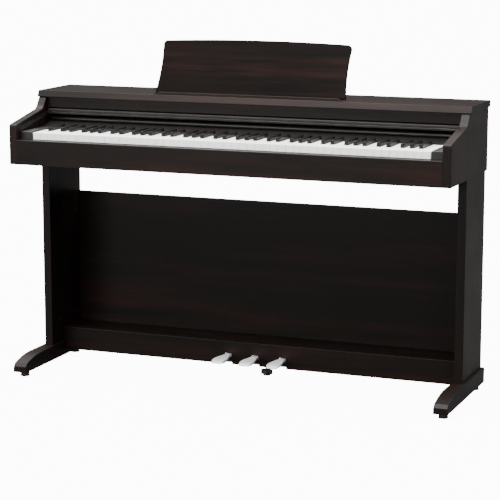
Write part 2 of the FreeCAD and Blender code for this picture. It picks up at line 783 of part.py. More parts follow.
# white keys of an octave: place among the seven, tail's left and right edge from the key's left
white_tails = {
    "key_c": (0, "0", group_of_three),
    "key_d": (1, f"2 * {group_of_three} - white_pitch", f"3 * {group_of_three} - white_pitch"),
    "key_e": (2, f"4 * {group_of_three} - 2 * white_pitch", "white_pitch"),
    "key_f": (3, "0", group_of_four),
    "key_g": (4, f"2 * {group_of_four} - white_pitch", f"3 * {group_of_four} - white_pitch"),
    "key_a": (5, f"4 * {group_of_four} - 2 * white_pitch", f"5 * {group_of_four} - 2 * white_pitch"),
    "key_b": (6, f"6 * {group_of_four} - 3 * white_pitch", "white_pitch"),
}
# black keys of an octave: middle, from the left edge of the octave
black_middles = {
    "key_c_sharp": f"1.5 * {group_of_three}",
    "key_d_sharp": f"3.5 * {group_of_three}",
    "key_f_sharp": f"3 * white_pitch + 1.5 * {group_of_four}",
    "key_g_sharp": f"3 * white_pitch + 3.5 * {group_of_four}",
    "key_a_sharp": f"3 * white_pitch + 5.5 * {group_of_four}",
}
white_count = 52
middle_octave = 23          # white keys to the left of middle C
first_octave = 2            # white keys to the left of the lowest C
octaves = 7


def notch_for_pivot(body, left, right):
    """Half-round notch under a key, which sits on the crown of the pivot rail."""
    notch = new_sketch(body, "YZ", left)
    draw_circle(notch, "pivot_reach", "0", "pivot_round + pivot_play")
    pocket(body, notch, f"({right}) - ({left})", against=False)


def white_key(name, number, tail_left, tail_right):
    """One white key, drawn from its own front left bottom corner."""
    body = new_body(name)
    outline = new_sketch(body, "XY")
    half = "key_gap / 2"
    near = [(half, "0"), (f"white_pitch - {half}", "0")]
    far = [(f"{tail_right} - {half}", "pivot_reach + tail_reach"),
           (f"{tail_left} + {half}", "pivot_reach + tail_reach")]
    corners = list(near)
    if tail_right != "white_pitch":
        corners += [(f"white_pitch - {half}", "head_length"), (f"{tail_right} - {half}", "head_length")]
    corners += far
    if tail_left != "0":
        corners += [(f"{tail_left} + {half}", "head_length"), (half, "head_length")]
    draw_outline(outline, corners)
    pad(body, outline, "white_tall")
    box = body.Shape.BoundBox
    round_off(body, "key_round", lambda edge: edge.BoundBox.ZMin > box.ZMax - 0.1
              and edge.BoundBox.YMin < box.YMax - 1)
    notch_for_pivot(body, "0", "white_pitch")
    bind(body, x=f"-keys_half + {number} * white_pitch", y="key_front", z="key_bottom")
    return body


def black_key(name, middle):
    """One black key, drawn from the middle of its width, at the fronts of the white keys."""
    body = new_body(name)
    side_view = new_sketch(body, "YZ", "-black_wide / 2")
    start = "key_showing - black_back - black_showing"
    draw_outline(side_view, [
        (start, "0"), ("pivot_reach + tail_reach", "0"),
        ("pivot_reach + tail_reach", "white_tall - tail_drop"),
        ("key_showing - black_back", "white_tall - tail_drop"),
        ("key_showing - black_back", "white_tall + black_rise"),
        (f"{start} + black_nose", "white_tall + black_rise")])
    pad(body, side_view, "black_wide")
    box = body.Shape.BoundBox
    behind = sheet.key_showing - sheet.black_back
    round_off(body, "black_round", lambda edge: edge.BoundBox.ZMax > box.ZMax - 0.1
              and edge.BoundBox.YMin < behind - 0.1)
    notch_for_pivot(body, "-black_wide / 2", "black_wide / 2")
    bind(body, x=f"-keys_half + {middle_octave} * white_pitch + {middle}", y="key_front", z="key_bottom")
    return body


def make_keys():
    """The octave from middle C as single keys, and copies of them for the rest of the keyboard."""
    others = {"white_keys": [], "black_keys": []}
    octave_steps = [step for step in range(octaves) if first_octave + 7 * step != middle_octave]
    for name, (place, tail_left, tail_right) in white_tails.items():
        key = white_key(name, middle_octave + place, tail_left, tail_right)
        name_part(key, name)
        for step in octave_steps:
            moved = f"{first_octave + 7 * step - middle_octave} * white_pitch"
            others["white_keys"].append(copy_of(key, f"{name}_{step}", x=moved))
    for name, middle in black_middles.items():
        key = black_key(name, middle)
        name_part(key, name)
        for step in octave_steps:
            moved = f"{first_octave + 7 * step - middle_octave} * white_pitch"
            others["black_keys"].append(copy_of(key, f"{name}_{step}", x=moved))
    lowest = white_key("lowest_a", 0, "0", white_tails["key_a"][2])
    highest = white_key("highest_c", white_count - 1, "0", "white_pitch")
    low_b = copy_of(doc.getObject("key_b"), "lowest_b", x=f"-{middle_octave + 5} * white_pitch")
    low_sharp = copy_of(doc.getObject("key_a_sharp"), "lowest_a_sharp",
                        x=f"-{middle_octave + 5} * white_pitch")
    grouped("white_keys", [lowest, low_b] + others["white_keys"] + [highest])
    grouped("black_keys", [low_sharp] + others["black_keys"])


def make_key_frame():
    """Pressed steel frame under the keys, with the felt that stops them and their contact board."""
    ends = ("-keys_half", "keys_half")
    felt_top = "key_bottom - stop_drop"
    pieces = [
        block("frame_floor", *ends, "key_front + frame_setback", "pivot_y + frame_behind", "bed_top",
              "bed_top + frame_sheet"),
        block("frame_stop", *ends, "stop_y - frame_sheet / 2", "stop_y + frame_sheet / 2", "bed_top",
              f"{felt_top} - felt_thick"),
        block("frame_shelf", *ends, "stop_y - felt_wide / 2", "stop_y + felt_wide / 2",
              f"{felt_top} - felt_thick - frame_sheet", f"{felt_top} - felt_thick"),
        block("frame_rib", *ends, "contact_y - frame_sheet / 2", "contact_y + frame_sheet / 2",
              "bed_top", "contact_z"),
        block("frame_beam", *ends, "pivot_y - beam_reach", "pivot_y - beam_reach + frame_sheet",
              "bed_top", "key_bottom - beam_drop"),
        block("frame_cap", *ends, "pivot_y - beam_reach", "pivot_y + beam_reach",
              "key_bottom - beam_drop - frame_sheet", "key_bottom - beam_drop"),
        block("frame_neck", *ends, "pivot_y - neck_thick / 2", "pivot_y + neck_thick / 2",
              "key_bottom - beam_drop - frame_sheet", "key_bottom"),
        rod("frame_crown", "-keys_half", "pivot_y", "key_bottom", "pivot_round", "2 * keys_half",
            along_x)]
    name_part(joined("key_frame", pieces), "key_frame")
    name_part(block("stop_felt", *ends, "stop_y - felt_wide / 2", "stop_y + felt_wide / 2",
                    f"{felt_top} - felt_thick", felt_top), "stop_felt")
    name_part(block("contact_board", "contact_end - keys_half", "keys_half - contact_end",
                    "contact_y - contact_wide / 2", "contact_y + contact_wide / 2", "contact_z",
                    "contact_z + board_sheet"), "contact_board")


# ---------------------------------------------------------------- sliding key cover

def cover_piece(label, corners, half):
    """A piece of the key cover, drawn in the frame of its path and then tilted into place."""
    body = section_along_x(label, corners, f"-({half})", half)
    tilt(body, "arm_slope", along_x, "cover_y", "cover_z")
    return body


def add_shoes(body, near):
    """Sliding shoes at the two ends of a cover piece, running in the guides."""
    half_tall = "guide_tall / 2 - guide_wall - shoe_play"
    for side in (-1, 1):
        inner = "cover_half - shoe_root"
        reach = "cover_side_play + guide_deep - guide_wall - shoe_play + shoe_root"
        shoe = new_sketch(body, "YZ", inner if side > 0 else f"-({inner}) - ({reach})")
        draw_rectangle(shoe, near, f"{near} + shoe_long", f"-({half_tall})", half_tall)
        pad(body, shoe, reach)


def make_key_cover():
    lid = cover_piece("key_cover", [
        ("0", "-cover_thick / 2"), ("cover_long", "-cover_thick / 2"),
        ("cover_long", "cover_thick / 2"), ("0", "cover_thick / 2")], "cover_half")
    add_shoes(lid, "cover_long - shoe_long")
    low = "rail_lift - rail_tall / 2"
    high = "rail_lift + rail_tall / 2"
    rail = cover_piece("key_cover_rail", [
        ("0", low), ("0", high), ("-rail_deep", high), ("-rail_deep", "rail_lift + rail_groove / 2"),
        ("groove_deep - rail_deep", "rail_lift"), ("-rail_deep", "rail_lift - rail_groove / 2"),
        ("-rail_deep", low)], "cover_half")
    nose = rail.Tip.Shape.BoundBox
    round_off(rail, "rail_round", lambda edge: runs_along(edge, along_x)
              and edge.CenterOfMass.y < nose.YMin + 0.1
              and (edge.CenterOfMass.z < nose.ZMin + 0.1 or edge.CenterOfMass.z > nose.ZMax - 0.1))
    add_shoes(rail, "-shoe_long")


# ---------------------------------------------------------------- music rest

def make_music_rest():
    """The rest is drawn upright from its hinge axis, front face towards -Y, and leaned back."""
    body = new_body("music_rest")
    face = new_sketch(body, "XZ", "rest_stand")
    draw_rectangle(face, "-rest_wide / 2", "rest_wide / 2", "-rest_down", "rest_up")
    pad(body, face, "rest_thick")
    # the sides curve in and the top curves up: arcs of large circles
    side_round = "((rest_up + rest_down) * (rest_up + rest_down) / (8 * rest_waist) + rest_waist / 2)"
    waist = new_sketch(body, "XZ", "rest_stand")
    for side in (-1, 1):
        draw_circle(waist, f"{side} * (rest_wide / 2 - rest_waist + {side_round})",
                    "(rest_up - rest_down) / 2", side_round)
    pocket(body, waist, "rest_thick + cut_spare", against=False)
    crown_round = "(rest_wide * rest_wide / (8 * rest_crown) + rest_crown / 2)"
    crown = new_sketch(body, "XZ", "rest_stand")
    draw_rectangle(crown, f"-{crown_round} - rest_wide", f"{crown_round} + rest_wide",
                   f"-2 * {crown_round}", "rest_up + rest_wide")
    draw_circle(crown, "0", f"rest_up - {crown_round}", crown_round)
    pocket(body, crown, "rest_thick + cut_spare", against=False)
    round_off(body, "rest_corner", lambda edge: runs_along(edge, along_y) and edge.CenterOfMass.z > 0)
    front = min(edge.CenterOfMass.y for edge in body.Shape.Edges)
    round_off(body, "edge_round", lambda edge: edge.CenterOfMass.y < front + 0.1)
    tilt(body, "rest_lean", -along_x, "hinge_y", "hinge_z")
    name_part(body, "music_rest")


def make_rest_brackets():
    """Steel straps on the back of the rest: hinge knuckle below, ear for the stay above."""
    straps = []
    for name, side in (("left_bracket", -1), ("right_bracket", 1)):
        strap = block(name + "_strap", "strap_place", "strap_place + strap_wide", "-rest_stand",
                      "strap_thick - rest_stand", "strap_low", "stay_reach + strap_over")
        arm = block(name + "_arm", "knuckle_x", "knuckle_x + knuckle_wide", "-rest_stand",
                    "hinge_pin", "0", "strap_low")
        knuckle = rod(name + "_knuckle", "knuckle_x", "0", "0", "hinge_lift - plate - knuckle_play",
                      "knuckle_wide", along_x)
        ear = block(name + "_ear", "strap_place", "strap_place + hinge_ear", "-rest_stand",
                    "stay_ear_deep - rest_stand", "stay_reach - stay_ear", "stay_reach + stay_ear")
        hinge_bore = rod(name + "_hinge_bore", "0", "0", "0", "hinge_pin + pin_play",
                         "strap_place + strap_wide", along_x)
        ear_bore = rod(name + "_ear_bore", "0", "0", "stay_reach", "pin_round + pin_play",
                       "strap_place + strap_wide", along_x)
        solid = carved(name, joined(name + "_solid", [strap, arm, knuckle, ear]),
                       [hinge_bore, ear_bore])
        straps.append(mirrored_place(solid, name, side))
    group = grouped("rest_brackets", straps)
    tilt(group, "rest_lean", -along_x, "hinge_y", "hinge_z")


def mirrored_place(item, name, side):
    """Put a fitting drawn for the right at the right stay, or mirrored at the left one."""
    if side > 0:
        bind(item, x="stay_place")
        return item
    twin = doc.addObject("Part::Mirroring", name + "_mirrored")
    twin.Source = item
    twin.Normal = along_x
    bind(twin, x="-stay_place")
    return twin


def make_rest_tracks():
    """Steel rails on the top board: hinge ears and pin at the front, slotted track at the back."""
    rails = []
    slot_half = "pin_round + slot_play"
    slot_start = "2 * stay_reach * sin(rest_lean) - pin_round - slot_spare"
    slot_end = "2 * stay_reach + pin_round + slot_spare"
    track_end = f"{slot_end} + track_behind"
    for name, side in (("left_track", -1), ("right_track", 1)):
        base = block(name + "_base", "-track_half", "ear_x + ear_gap + 2 * hinge_ear + track_over",
                     "-track_start", track_end, "-hinge_lift", "plate - hinge_lift")
        walls = []
        for number, place in enumerate(("-track_half", "track_gap / 2")):
            walls.append(block(f"{name}_wall{number}", place, f"{place} + track_wall",
                               f"{slot_start} - track_front", track_end, "-hinge_lift",
                               "rest_stand - wall_drop"))
        ears = []
        for number, place in enumerate(("ear_x", "ear_x + hinge_ear + ear_gap")):
            ears.append(rod(f"{name}_ear{number}", place, "0", "0", "rest_stand - ear_drop",
                            "hinge_ear", along_x))
            ears.append(block(f"{name}_post{number}", place, f"{place} + hinge_ear", "-hinge_ear",
                              "hinge_ear", "-hinge_lift", "0"))
        pin = rod(name + "_pin", "ear_x", "0", "0", "hinge_pin", "ear_gap + 2 * hinge_ear", along_x)
        slot = block(name + "_slot", "-track_half - cut_spare", "track_half + cut_spare", slot_start,
                     slot_end, f"-({slot_half})", slot_half)
        solid = carved(name, joined(name + "_solid", [base] + walls + ears + [pin]), [slot])
        rails.append(mirrored_place(solid, name, side))
    group = grouped("rest_tracks", rails)
    bind(group, y="hinge_y", z="hinge_z")


def make_rest_stays():
    """Flat bars from the rest's brackets down to the tracks, with a rivet at each end."""
    for label, side in (("left_rest_stay", -1), ("right_rest_stay", 1)):
        inner = "-stay_bar / 2"
        half = "stay_bar / 2 - stay_clear"
        bar = block(label + "_bar", inner, "stay_bar / 2", f"-({half})", half, "-stay_reach", "0")
        eyes = [rod(f"{label}_eye{number}", inner, "0", place, half, "stay_bar", along_x)
                for number, place in enumerate(("0", "-stay_reach"))]
        rivet = rod(label + "_rivet", inner, "0", "0", "pin_round",
                    "stay_bar / 2 + strap_place + hinge_ear + rivet_over", along_x)
        slider = rod(label + "_slider", "-track_half - slider_over", "0", "-stay_reach", "pin_round",
                     "2 * (track_half + slider_over)", along_x)
        solid = joined(label + "_solid", [bar] + eyes + [rivet, slider])
        placed = mirrored_place(solid, label, side)
        group = grouped(label, [placed])
        # the stay leans forward as much as the rest leans back: with it, it makes equal legs
        tilt(group, "rest_lean", along_x, "hinge_y + stay_reach * sin(rest_lean)",
             "hinge_z + stay_reach * cos(rest_lean)")


def make_rest_ledge():
    """Low strip along the front of the top board that keeps sheets from sliding off."""
    body = new_body("rest_ledge")
    shape = new_sketch(body, "XZ", "-(front + top_setback + ledge_setback + ledge_deep)")
    half = "rest_wide / 2 + ledge_over"
    draw_outline(shape, [(f"-({half})", "lid_top"), (half, "lid_top"),
                         (f"{half} - ledge_taper", "lid_top + ledge_tall"),
                         (f"-({half}) + ledge_taper", "lid_top + ledge_tall")])
    pad(body, shape, "ledge_deep")
    top = body.Shape.BoundBox.ZMax
    round_off(body, "edge_round", lambda edge: runs_along(edge, along_x)
              and edge.CenterOfMass.z > top - 0.1)
    name_part(body, "rest_ledge")


# ---------------------------------------------------------------- stand

def make_legs_and_feet():
    for prefix, side in (("left", -1), ("right", 1)):
        left = "leg_in" if side > 0 else "-leg_out"
        leg = board(prefix + "_leg", left, f"{left} + leg_thick", "leg_y", "leg_y + leg_deep",
                    "foot_top", "bed_height")
        round_off(leg, "edge_round", lambda edge: runs_along(edge, along_z))
        left = "foot_inner" if side > 0 else "-foot_outer"
        foot = section_along_x(prefix + "_foot", [
            ("front", "foot_lift"), ("back", "foot_lift"), ("back", "foot_top"),
            ("front + foot_bevel + foot_ramp", "foot_top"),
            ("front + foot_bevel", "foot_lift + foot_nose + foot_bevel"),
            ("front", "foot_lift + foot_nose")], left, f"{left} + foot_wide")
        long_edges = [edge for edge in foot.Shape.Edges if runs_along(edge, along_x)]
        ramp = sorted(long_edges, key=lambda edge: edge.CenterOfMass.y)[3].CenterOfMass
        round_off(foot, "foot_round", lambda edge: runs_along(edge, along_x)
                  and (edge.CenterOfMass - ramp).Length < 0.1)
        bottom = foot.Shape.BoundBox.ZMin
        round_off(foot, "foot_edge", lambda edge: not runs_along(edge, along_x)
                  and edge.BoundBox.ZMax > bottom + 1 and edge.BoundBox.YLength > 1)
    pads = []
    for side in (-1, 1):
        for name, place in (("front", "front + pad_inset"), ("rear", "back - pad_inset")):
            pads.append(rod(f"pad_{name}{side}", f"{side} * (foot_inner + foot_outer) / 2", place,
                            "0", "pad_round", "foot_lift"))
    grouped("foot_pads", pads)


def make_back_board():
    board("back_board", "-leg_in", "leg_in", "board_front", "board_front + board_thick",
          "foot_top", "board_top", "edge_round")


# ---------------------------------------------------------------- pedals

pedal_places = {"left_pedal": "-pedal_pitch", "middle_pedal": "0", "right_pedal": "pedal_pitch"}


def make_pedal_boards():
    body = new_body("pedal_front_board")
    outline = new_sketch(body, "XZ", "-pedal_rear")
    low = "pedal_board_lift"
    end = "foot_inner - pedal_board_play"
    corners = [(f"-({end})", low)]
    for place in pedal_places.values():
        left = f"{place} - pedal_notch / 2"
        right = f"{place} + pedal_notch / 2"
        corners += [(left, low), (left, f"{low} + notch_tall"), (right, f"{low} + notch_tall"),
                    (right, low)]
    corners += [(end, low), (end, "foot_top"), ("leg_in", "foot_top"), ("leg_in", "pedal_top"),
                ("-leg_in", "pedal_top"), ("-leg_in", "foot_top"), (f"-({end})", "foot_top")]
    draw_outline(outline, corners)
    pad(body, outline, "pedal_board_thick")
    box = body.Shape.BoundBox
    reach = 2 * sheet.pedal_pitch
    round_off(body, "notch_round", lambda edge: runs_along(edge, along_y)
              and abs(edge.CenterOfMass.x) < reach and box.ZMin + 1 < edge.CenterOfMass.z < box.ZMax - 1)
    round_off(body, "2 * edge_round", lambda edge: runs_along(edge, along_x)
              and edge.CenterOfMass.z > box.ZMax - 0.1 and edge.CenterOfMass.y < box.YMin + 0.1)
    name_part(body, "pedal_front_board")
    board("pedal_lid", "-leg_in", "leg_in", "pedal_rear", "board_front", "pedal_top - board_thick",
          "pedal_top")


def make_pedal_base():
    """Bent steel tray under the lid with two ears for each pedal, on one axle."""
    half = "base_wide / 2"
    floor = "pedal_board_lift"
    near = "pedal_rear + base_front"
    far = "board_front - base_behind"
    pieces = [block("base_floor", f"-({half})", half, near, far, floor, f"{floor} + base_plate")]
    for name, place in (("left", f"-({half})"), ("right", f"{half} - base_plate")):
        pieces.append(block(f"base_flange_{name}", place, f"{place} + base_plate", near, far, floor,
                            "pedal_top - board_thick"))
    for name, place in pedal_places.items():
        for number, left in enumerate((f"{place} - pedal_neck / 2 - ear_clear - base_plate",
                                       f"{place} + pedal_neck / 2 + spring_room")):
            pieces.append(block(f"{name}_ear{number}", left, f"{left} + base_plate",
                                "axis_y - ear_half", "axis_y + ear_half", floor,
                                "pedal_axis_lift + ear_half"))
    axle_hole = rod("base_axle_hole", f"-({half})", "axis_y", "pedal_axis_lift", "axle_round",
                    "base_wide", along_x)
    bolt_hole = rod("base_bolt_hole", "bolt_place", "bolt_y", f"{floor} - cut_spare",
                    "axle_round + axle_play", "base_plate + 2 * cut_spare")
    name_part(carved("pedal_base", joined("base_solid", pieces), [axle_hole, bolt_hole]), "pedal_base")
    name_part(rod("pedal_axle", f"-({half})", "axis_y", "pedal_axis_lift", "axle_round", "base_wide",
                  along_x), "pedal_axle")


def make_pedals():
    for label, place in pedal_places.items():
        body = new_body(label)
        side_view = new_sketch(body, "YZ", "-pedal_wide / 2")
        # heights from the axle, distances forward of it
        low = "pedal_crown - pedal_thick"
        tip_top = "pedal_crown - tip_drop"
        draw_outline(side_view, [
            ("hub_reach", "-pedal_hub"), ("hub_reach", "pedal_hub"), ("-hub_reach", "pedal_hub"),
            ("-hub_foot", "pedal_crown"), ("tip_long - pedal_reach", "pedal_crown"),
            ("-pedal_reach", tip_top), ("-pedal_reach", f"{tip_top} - tip_thick"),
            ("tip_under - pedal_reach", low), ("-hub_foot", low), ("-hub_reach", "-pedal_hub")])
        pad(body, side_view, "pedal_wide")
        plan = new_sketch(body, "XY", "-2 * pedal_hub")
        draw_rectangle(plan, "-pedal_wide", "pedal_wide", "-2 * pedal_reach", "2 * hub_reach")
        neck = "pedal_neck / 2"
        side = "pedal_wide / 2"
        draw_outline(plan, [
            (neck, "hub_reach + cut_spare"), (f"-({neck})", "hub_reach + cut_spare"),
            (f"-({neck})", "-neck_long"), (f"-({side})", "pad_long - pedal_reach"),
            (f"-({side})", "-pedal_reach"), (side, "-pedal_reach"), (side, "pad_long - pedal_reach"),
            (neck, "-neck_long")])
        pocket(body, plan, "4 * pedal_hub", against=False)
        tip = body.Shape.BoundBox.YMin
        round_off(body, "(pedal_wide - tip_flat) / 2", lambda edge: edge.BoundBox.YMax < tip + 0.1
                  and runs_along(edge, along_z))
        top_faces = [face for face in body.Tip.Shape.Faces if face.normalAt(0, 0).z > 0.7]
        front_half = body.Shape.BoundBox.Center.y / 3
        rim = [edge for face in top_faces for edge in face.Edges if edge.CenterOfMass.y < front_half]
        round_off(body, "pedal_edge", lambda edge: not runs_along(edge, along_x)
                  and any(edge.isSame(other) for other in rim))
        bore = new_sketch(body, "YZ", "-pedal_wide / 2")
        draw_circle(bore, "0", "0", "axle_round + axle_play")
        pocket(body, bore, "pedal_wide", against=False)
        bind(body, x=place, y="axis_y", z="pedal_axis_lift")
        name_part(body, label)


def make_pedal_springs():
    """Coils round the axle, between each pedal and its right-hand ear."""
    body = new_body("pedal_spring")
    wire = new_sketch(body, "XZ")
    draw_circle(wire, "spring_wire", "axle_round + spring_play + spring_wire / 2", "spring_wire / 2")
    coil = body.newObject("PartDesign::AdditiveHelix", "spring_coil")
    coil.Profile = wire
    coil.ReferenceAxis = (wire, ["H_Axis"])
    coil.Mode = "pitch-turns-angle"
    bind(coil, Pitch="spring_wire * 1.1", Turns="spring_turns")
    doc.recompute()
    springs = []
    for name, place in pedal_places.items():
        copy = copy_of(body, name + "_spring", x=f"{place} + pedal_neck / 2", y="axis_y",
                       z="pedal_axis_lift")
        springs.append(copy)
    grouped("pedal_springs", springs)


def make_support_bolt():
    """Hand-turned foot under the pedal unit: four-lobed knob on a threaded stud."""
    x = "bolt_place"
    y = "bolt_y"
    spread = "(bolt_knob - bolt_lobe)"
    pieces = [rod("bolt_foot", x, y, "0", "bolt_foot", "bolt_sole + cut_spare"),
              rod("bolt_hub", x, y, "bolt_sole", "bolt_hub", "knob_high"),
              rod("bolt_stud", x, y, "stud_start", "axle_round", "stud_long")]
    for number, (across, along) in enumerate(((1, 0), (0, 1), (-1, 0), (0, -1))):
        pieces.append(rod(f"bolt_lobe{number}", f"{x} + {across} * {spread}",
                          f"{y} + {along} * {spread}", "bolt_sole", "bolt_lobe", "knob_high"))
    name_part(joined("support_bolt", pieces), "support_bolt")


# ---------------------------------------------------------------- sound, circuit boards, sockets

slots_each_way = 4      # slots of a grille on either side of its middle one


def make_speakers():
    body = new_body("speaker")
    section = new_sketch(body, "XZ")
    cone = "speaker_round - cone_inset"
    draw_outline(section, [
        ("0", "dome_rise"), (cone, "cone_edge"), (cone, "0"), ("speaker_round", "0"),
        ("speaker_round", "flange_thick"), ("speaker_round - speaker_rim", "flange_thick"),
        ("magnet_round", "magnet_low"), ("magnet_round", "magnet_top"), ("0", "magnet_top")])
    turned = body.newObject("PartDesign::Revolution", "speaker_turned")
    turned.Profile = section
    turned.ReferenceAxis = (section, ["V_Axis"])
    turned.Angle = 360
    doc.recompute()
    grouped("speakers", [copy_of(body, f"speaker{side}", x=f"{side} * speaker_x", y="speaker_y",
                                 z="bed_top") for side in (-1, 1)])
    plate = new_body("grille")
    disc = new_sketch(plate, "XY")
    draw_circle(disc, "0", "0", "speaker_round + grille_over")
    pad(plate, disc, "grille_thick")
    slots = new_sketch(plate, "XY")
    for number in range(-slots_each_way, slots_each_way + 1):
        half = f"(speaker_round - grille_rim - {abs(number)} * grille_step)"
        middle = f"{number} * grille_pitch"
        draw_rectangle(slots, f"-{half}", half, f"{middle} - grille_slot / 2",
                       f"{middle} + grille_slot / 2")
    pocket(plate, slots, "grille_thick + cut_spare", against=False)
    grouped("speaker_grilles", [copy_of(plate, f"grille{side}", x=f"{side} * speaker_x",
                                        y="speaker_y", z="bed_height - grille_thick")
                                for side in (-1, 1)])


# components on the main board: middle from the board's own, width, depth and height
chips = ((-70, -10, 28, 28, 3), (-20, 0, 20, 14, 2.5), (30, -15, 36, 24, 12), (80, 10, 16, 30, 9))


def make_main_board():
    """Circuit board on four posts in the back of the cabinet, with its larger components."""
    low = "bed_top + board_lift"
    high = "bed_top + board_lift + board_sheet"
    y = "speaker_y"
    pieces = [block("main_sheet", "-board_wide / 2", "board_wide / 2", f"{y} - board_deep / 2",
                    f"{y} + board_deep / 2", low, high)]
    for number, (across, along) in enumerate(((-1, -1), (1, -1), (-1, 1), (1, 1))):
        pieces.append(rod(f"main_post{number}", f"{across} * (board_wide / 2 - post_inset)",
                          f"{y} + {along} * (board_deep / 2 - post_inset)", "bed_top", "post_round",
                          "board_lift + post_over"))
    for number, (across, along, wide, deep, tall) in enumerate(chips):
        pieces.append(block(f"main_chip{number}", f"{across} - {wide} / 2", f"{across} + {wide} / 2",
                            f"{y} + {along} - {deep} / 2", f"{y} + {along} + {deep} / 2", high,
                            f"{high} + {tall}"))
    name_part(joined("main_board", pieces), "main_board")


def make_sockets():
    """Two headphone jacks under the key bed, and five round sockets in the back panel."""
    sockets = []
    for number in range(jack_count):
        x = f"jack_x + {number} * jack_pitch"
        shell = rod(f"phones{number}_shell", x, "jack_y", "bed_height", "jack_round", "bed_thick")
        nut = rod(f"phones{number}_nut", x, "jack_y", "bed_height - nut_thick",
                  "jack_round + nut_over", "nut_thick")
        bore = rod(f"phones{number}_bore", x, "jack_y", "bed_height - nut_thick - cut_spare",
                   "jack_bore", "bed_thick + nut_thick + cut_spare - jack_floor")
        sockets.append(carved(f"phones{number}", joined(f"phones{number}_solid", [shell, nut]), [bore]))
    for number, radius in enumerate(socket_bores):
        x = f"socket_x + {number} * socket_pitch"
        shell = rod(f"socket{number}_shell", x, "panel_back", "socket_z", "socket_round",
                    "back_thick", -along_y)
        rim = rod(f"socket{number}_rim", x, "panel_back + socket_rim", "socket_z",
                  "socket_round + rim_over", "socket_rim", -along_y)
        bore = rod(f"socket{number}_bore", x, "panel_back + socket_rim + cut_spare", "socket_z", radius,
                   "back_thick + socket_rim + cut_spare - jack_floor", -along_y)
        sockets.append(carved(f"socket{number}", joined(f"socket{number}_solid", [shell, rim]), [bore]))
    grouped("sockets", sockets)


def make_screws():
    """Pan heads on the back of the cabinet and of the stand, each with a cross recess."""
    screws = []
    places = [(f"{step} * side_in / 3", height) for step in (-2.8, -1, 1, 2.8)
              for height in ("bed_height + screw_inset", "cabinet_top - screw_inset")]
    places += [(f"{side} * (leg_in - board_screw_inset)", height) for side in (-1, 1)
               for height in ("foot_top + board_screw_low", "board_top - board_screw_high")]
    recess = ("panel_back + screw_tall - recess_deep", "panel_back + screw_tall + cut_spare")
    for number, (x, z) in enumerate(places):
        head = rod(f"screw{number}_head", x, "panel_back + screw_tall", z, "screw_round", "screw_tall",
                   -along_y)
        slots = [block(f"screw{number}_slot0", f"{x} - recess_long / 2", f"{x} + recess_long / 2",
                       *recess, f"{z} - recess_wide / 2", f"{z} + recess_wide / 2"),
                 block(f"screw{number}_slot1", f"{x} - recess_wide / 2", f"{x} + recess_wide / 2",
                       *recess, f"{z} - recess_long / 2", f"{z} + recess_long / 2")]
        screws.append(carved(f"screw{number}", head, slots))
    grouped("assembly_screws", screws)


make_top_board()
make_side_panel("left_side_panel", -1)
make_side_panel("right_side_panel", 1)
make_cover_guides()
make_key_bed()
make_key_slip()
make_cabinet_back()
make_fascia()
make_cheek_blocks()
make_controls()
make_keys()
make_key_frame()
make_key_cover()
make_music_rest()
make_rest_brackets()
make_rest_tracks()
make_rest_stays()
make_rest_ledge()
make_legs_and_feet()
make_back_board()
make_pedal_boards()
make_pedal_base()
make_pedals()
make_pedal_springs()
make_support_bolt()
make_speakers()
make_main_board()
make_sockets()
make_screws()
doc.recompute()

# ---------------------------------------------------------------- check and write

for item in doc.Objects:
    if "Invalid" in item.State or "Error" in item.State:
        raise RuntimeError(f"{item.Name} failed: {item.State}")

os.makedirs("parts", exist_ok=True)
for item in sub_parts:
    if item.Shape.isNull() or not item.Shape.isValid():
        raise RuntimeError(f"{item.Label} has no sound shape")

for item in sub_parts:
    item.Shape.exportStep(f"parts/{item.Label}.step")
    print(item.Label, len(item.Shape.Solids), round(item.Shape.Volume / 1000, 1))
print(len(sub_parts), "sub-parts")
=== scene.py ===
import bpy
import math
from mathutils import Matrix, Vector


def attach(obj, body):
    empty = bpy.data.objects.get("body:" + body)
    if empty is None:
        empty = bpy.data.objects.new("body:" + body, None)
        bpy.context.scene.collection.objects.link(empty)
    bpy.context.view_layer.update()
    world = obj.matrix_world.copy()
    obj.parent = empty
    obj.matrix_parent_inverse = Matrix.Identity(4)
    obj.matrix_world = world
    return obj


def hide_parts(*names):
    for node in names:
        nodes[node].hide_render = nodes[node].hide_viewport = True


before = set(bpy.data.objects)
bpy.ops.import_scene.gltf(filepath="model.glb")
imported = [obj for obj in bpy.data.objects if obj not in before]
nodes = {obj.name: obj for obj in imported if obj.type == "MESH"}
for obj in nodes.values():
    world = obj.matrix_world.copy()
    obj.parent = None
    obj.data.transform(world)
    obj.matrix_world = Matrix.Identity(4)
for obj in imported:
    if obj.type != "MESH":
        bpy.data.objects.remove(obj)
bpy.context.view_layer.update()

# camera first, then the studio round the piano

camera = {"place": (1.99264, -5.04186, 1.39561), "turn": 21.45, "dip": 10.36, "lens": 133.6}


def clearSelection():
    if bpy.context.object and bpy.context.object.mode != "OBJECT":
        bpy.ops.object.mode_set(mode="OBJECT")
    bpy.ops.object.select_all(action="DESELECT")


def addCamera():
    clearSelection()
    tilt = (math.radians(90 - camera["dip"]), 0, math.radians(camera["turn"]))
    bpy.ops.object.camera_add(location=camera["place"], rotation=tilt)
    bpy.context.object.data.lens = camera["lens"]
    bpy.context.object.data.clip_end = 200
    bpy.context.scene.camera = bpy.context.object


addCamera()

studio = {
    "target": (0, 0, 0.7),
    "softbox": {"place": (-1.3, -1.2, 4.8), "size": (4.2, 2.4), "power": 430},
    "rearBox": {"place": (-1.9, 3.6, 3.1), "size": (2.6, 1.0), "power": 4},
    "frontBox": {"place": (-2.6, -7.0, 1.6), "size": (4.5, 2.4), "power": 300},
    "fillBox": {"place": (4.2, -6.0, 0.6), "size": (2.0, 1.0), "power": 100},
    "air": (0.04, 10.0),    # light from the horizon and from straight above
    "floorTone": 0.06,
    "floorGlow": 12.0,      # keeps the surroundings pale without lighting the piano from below
}


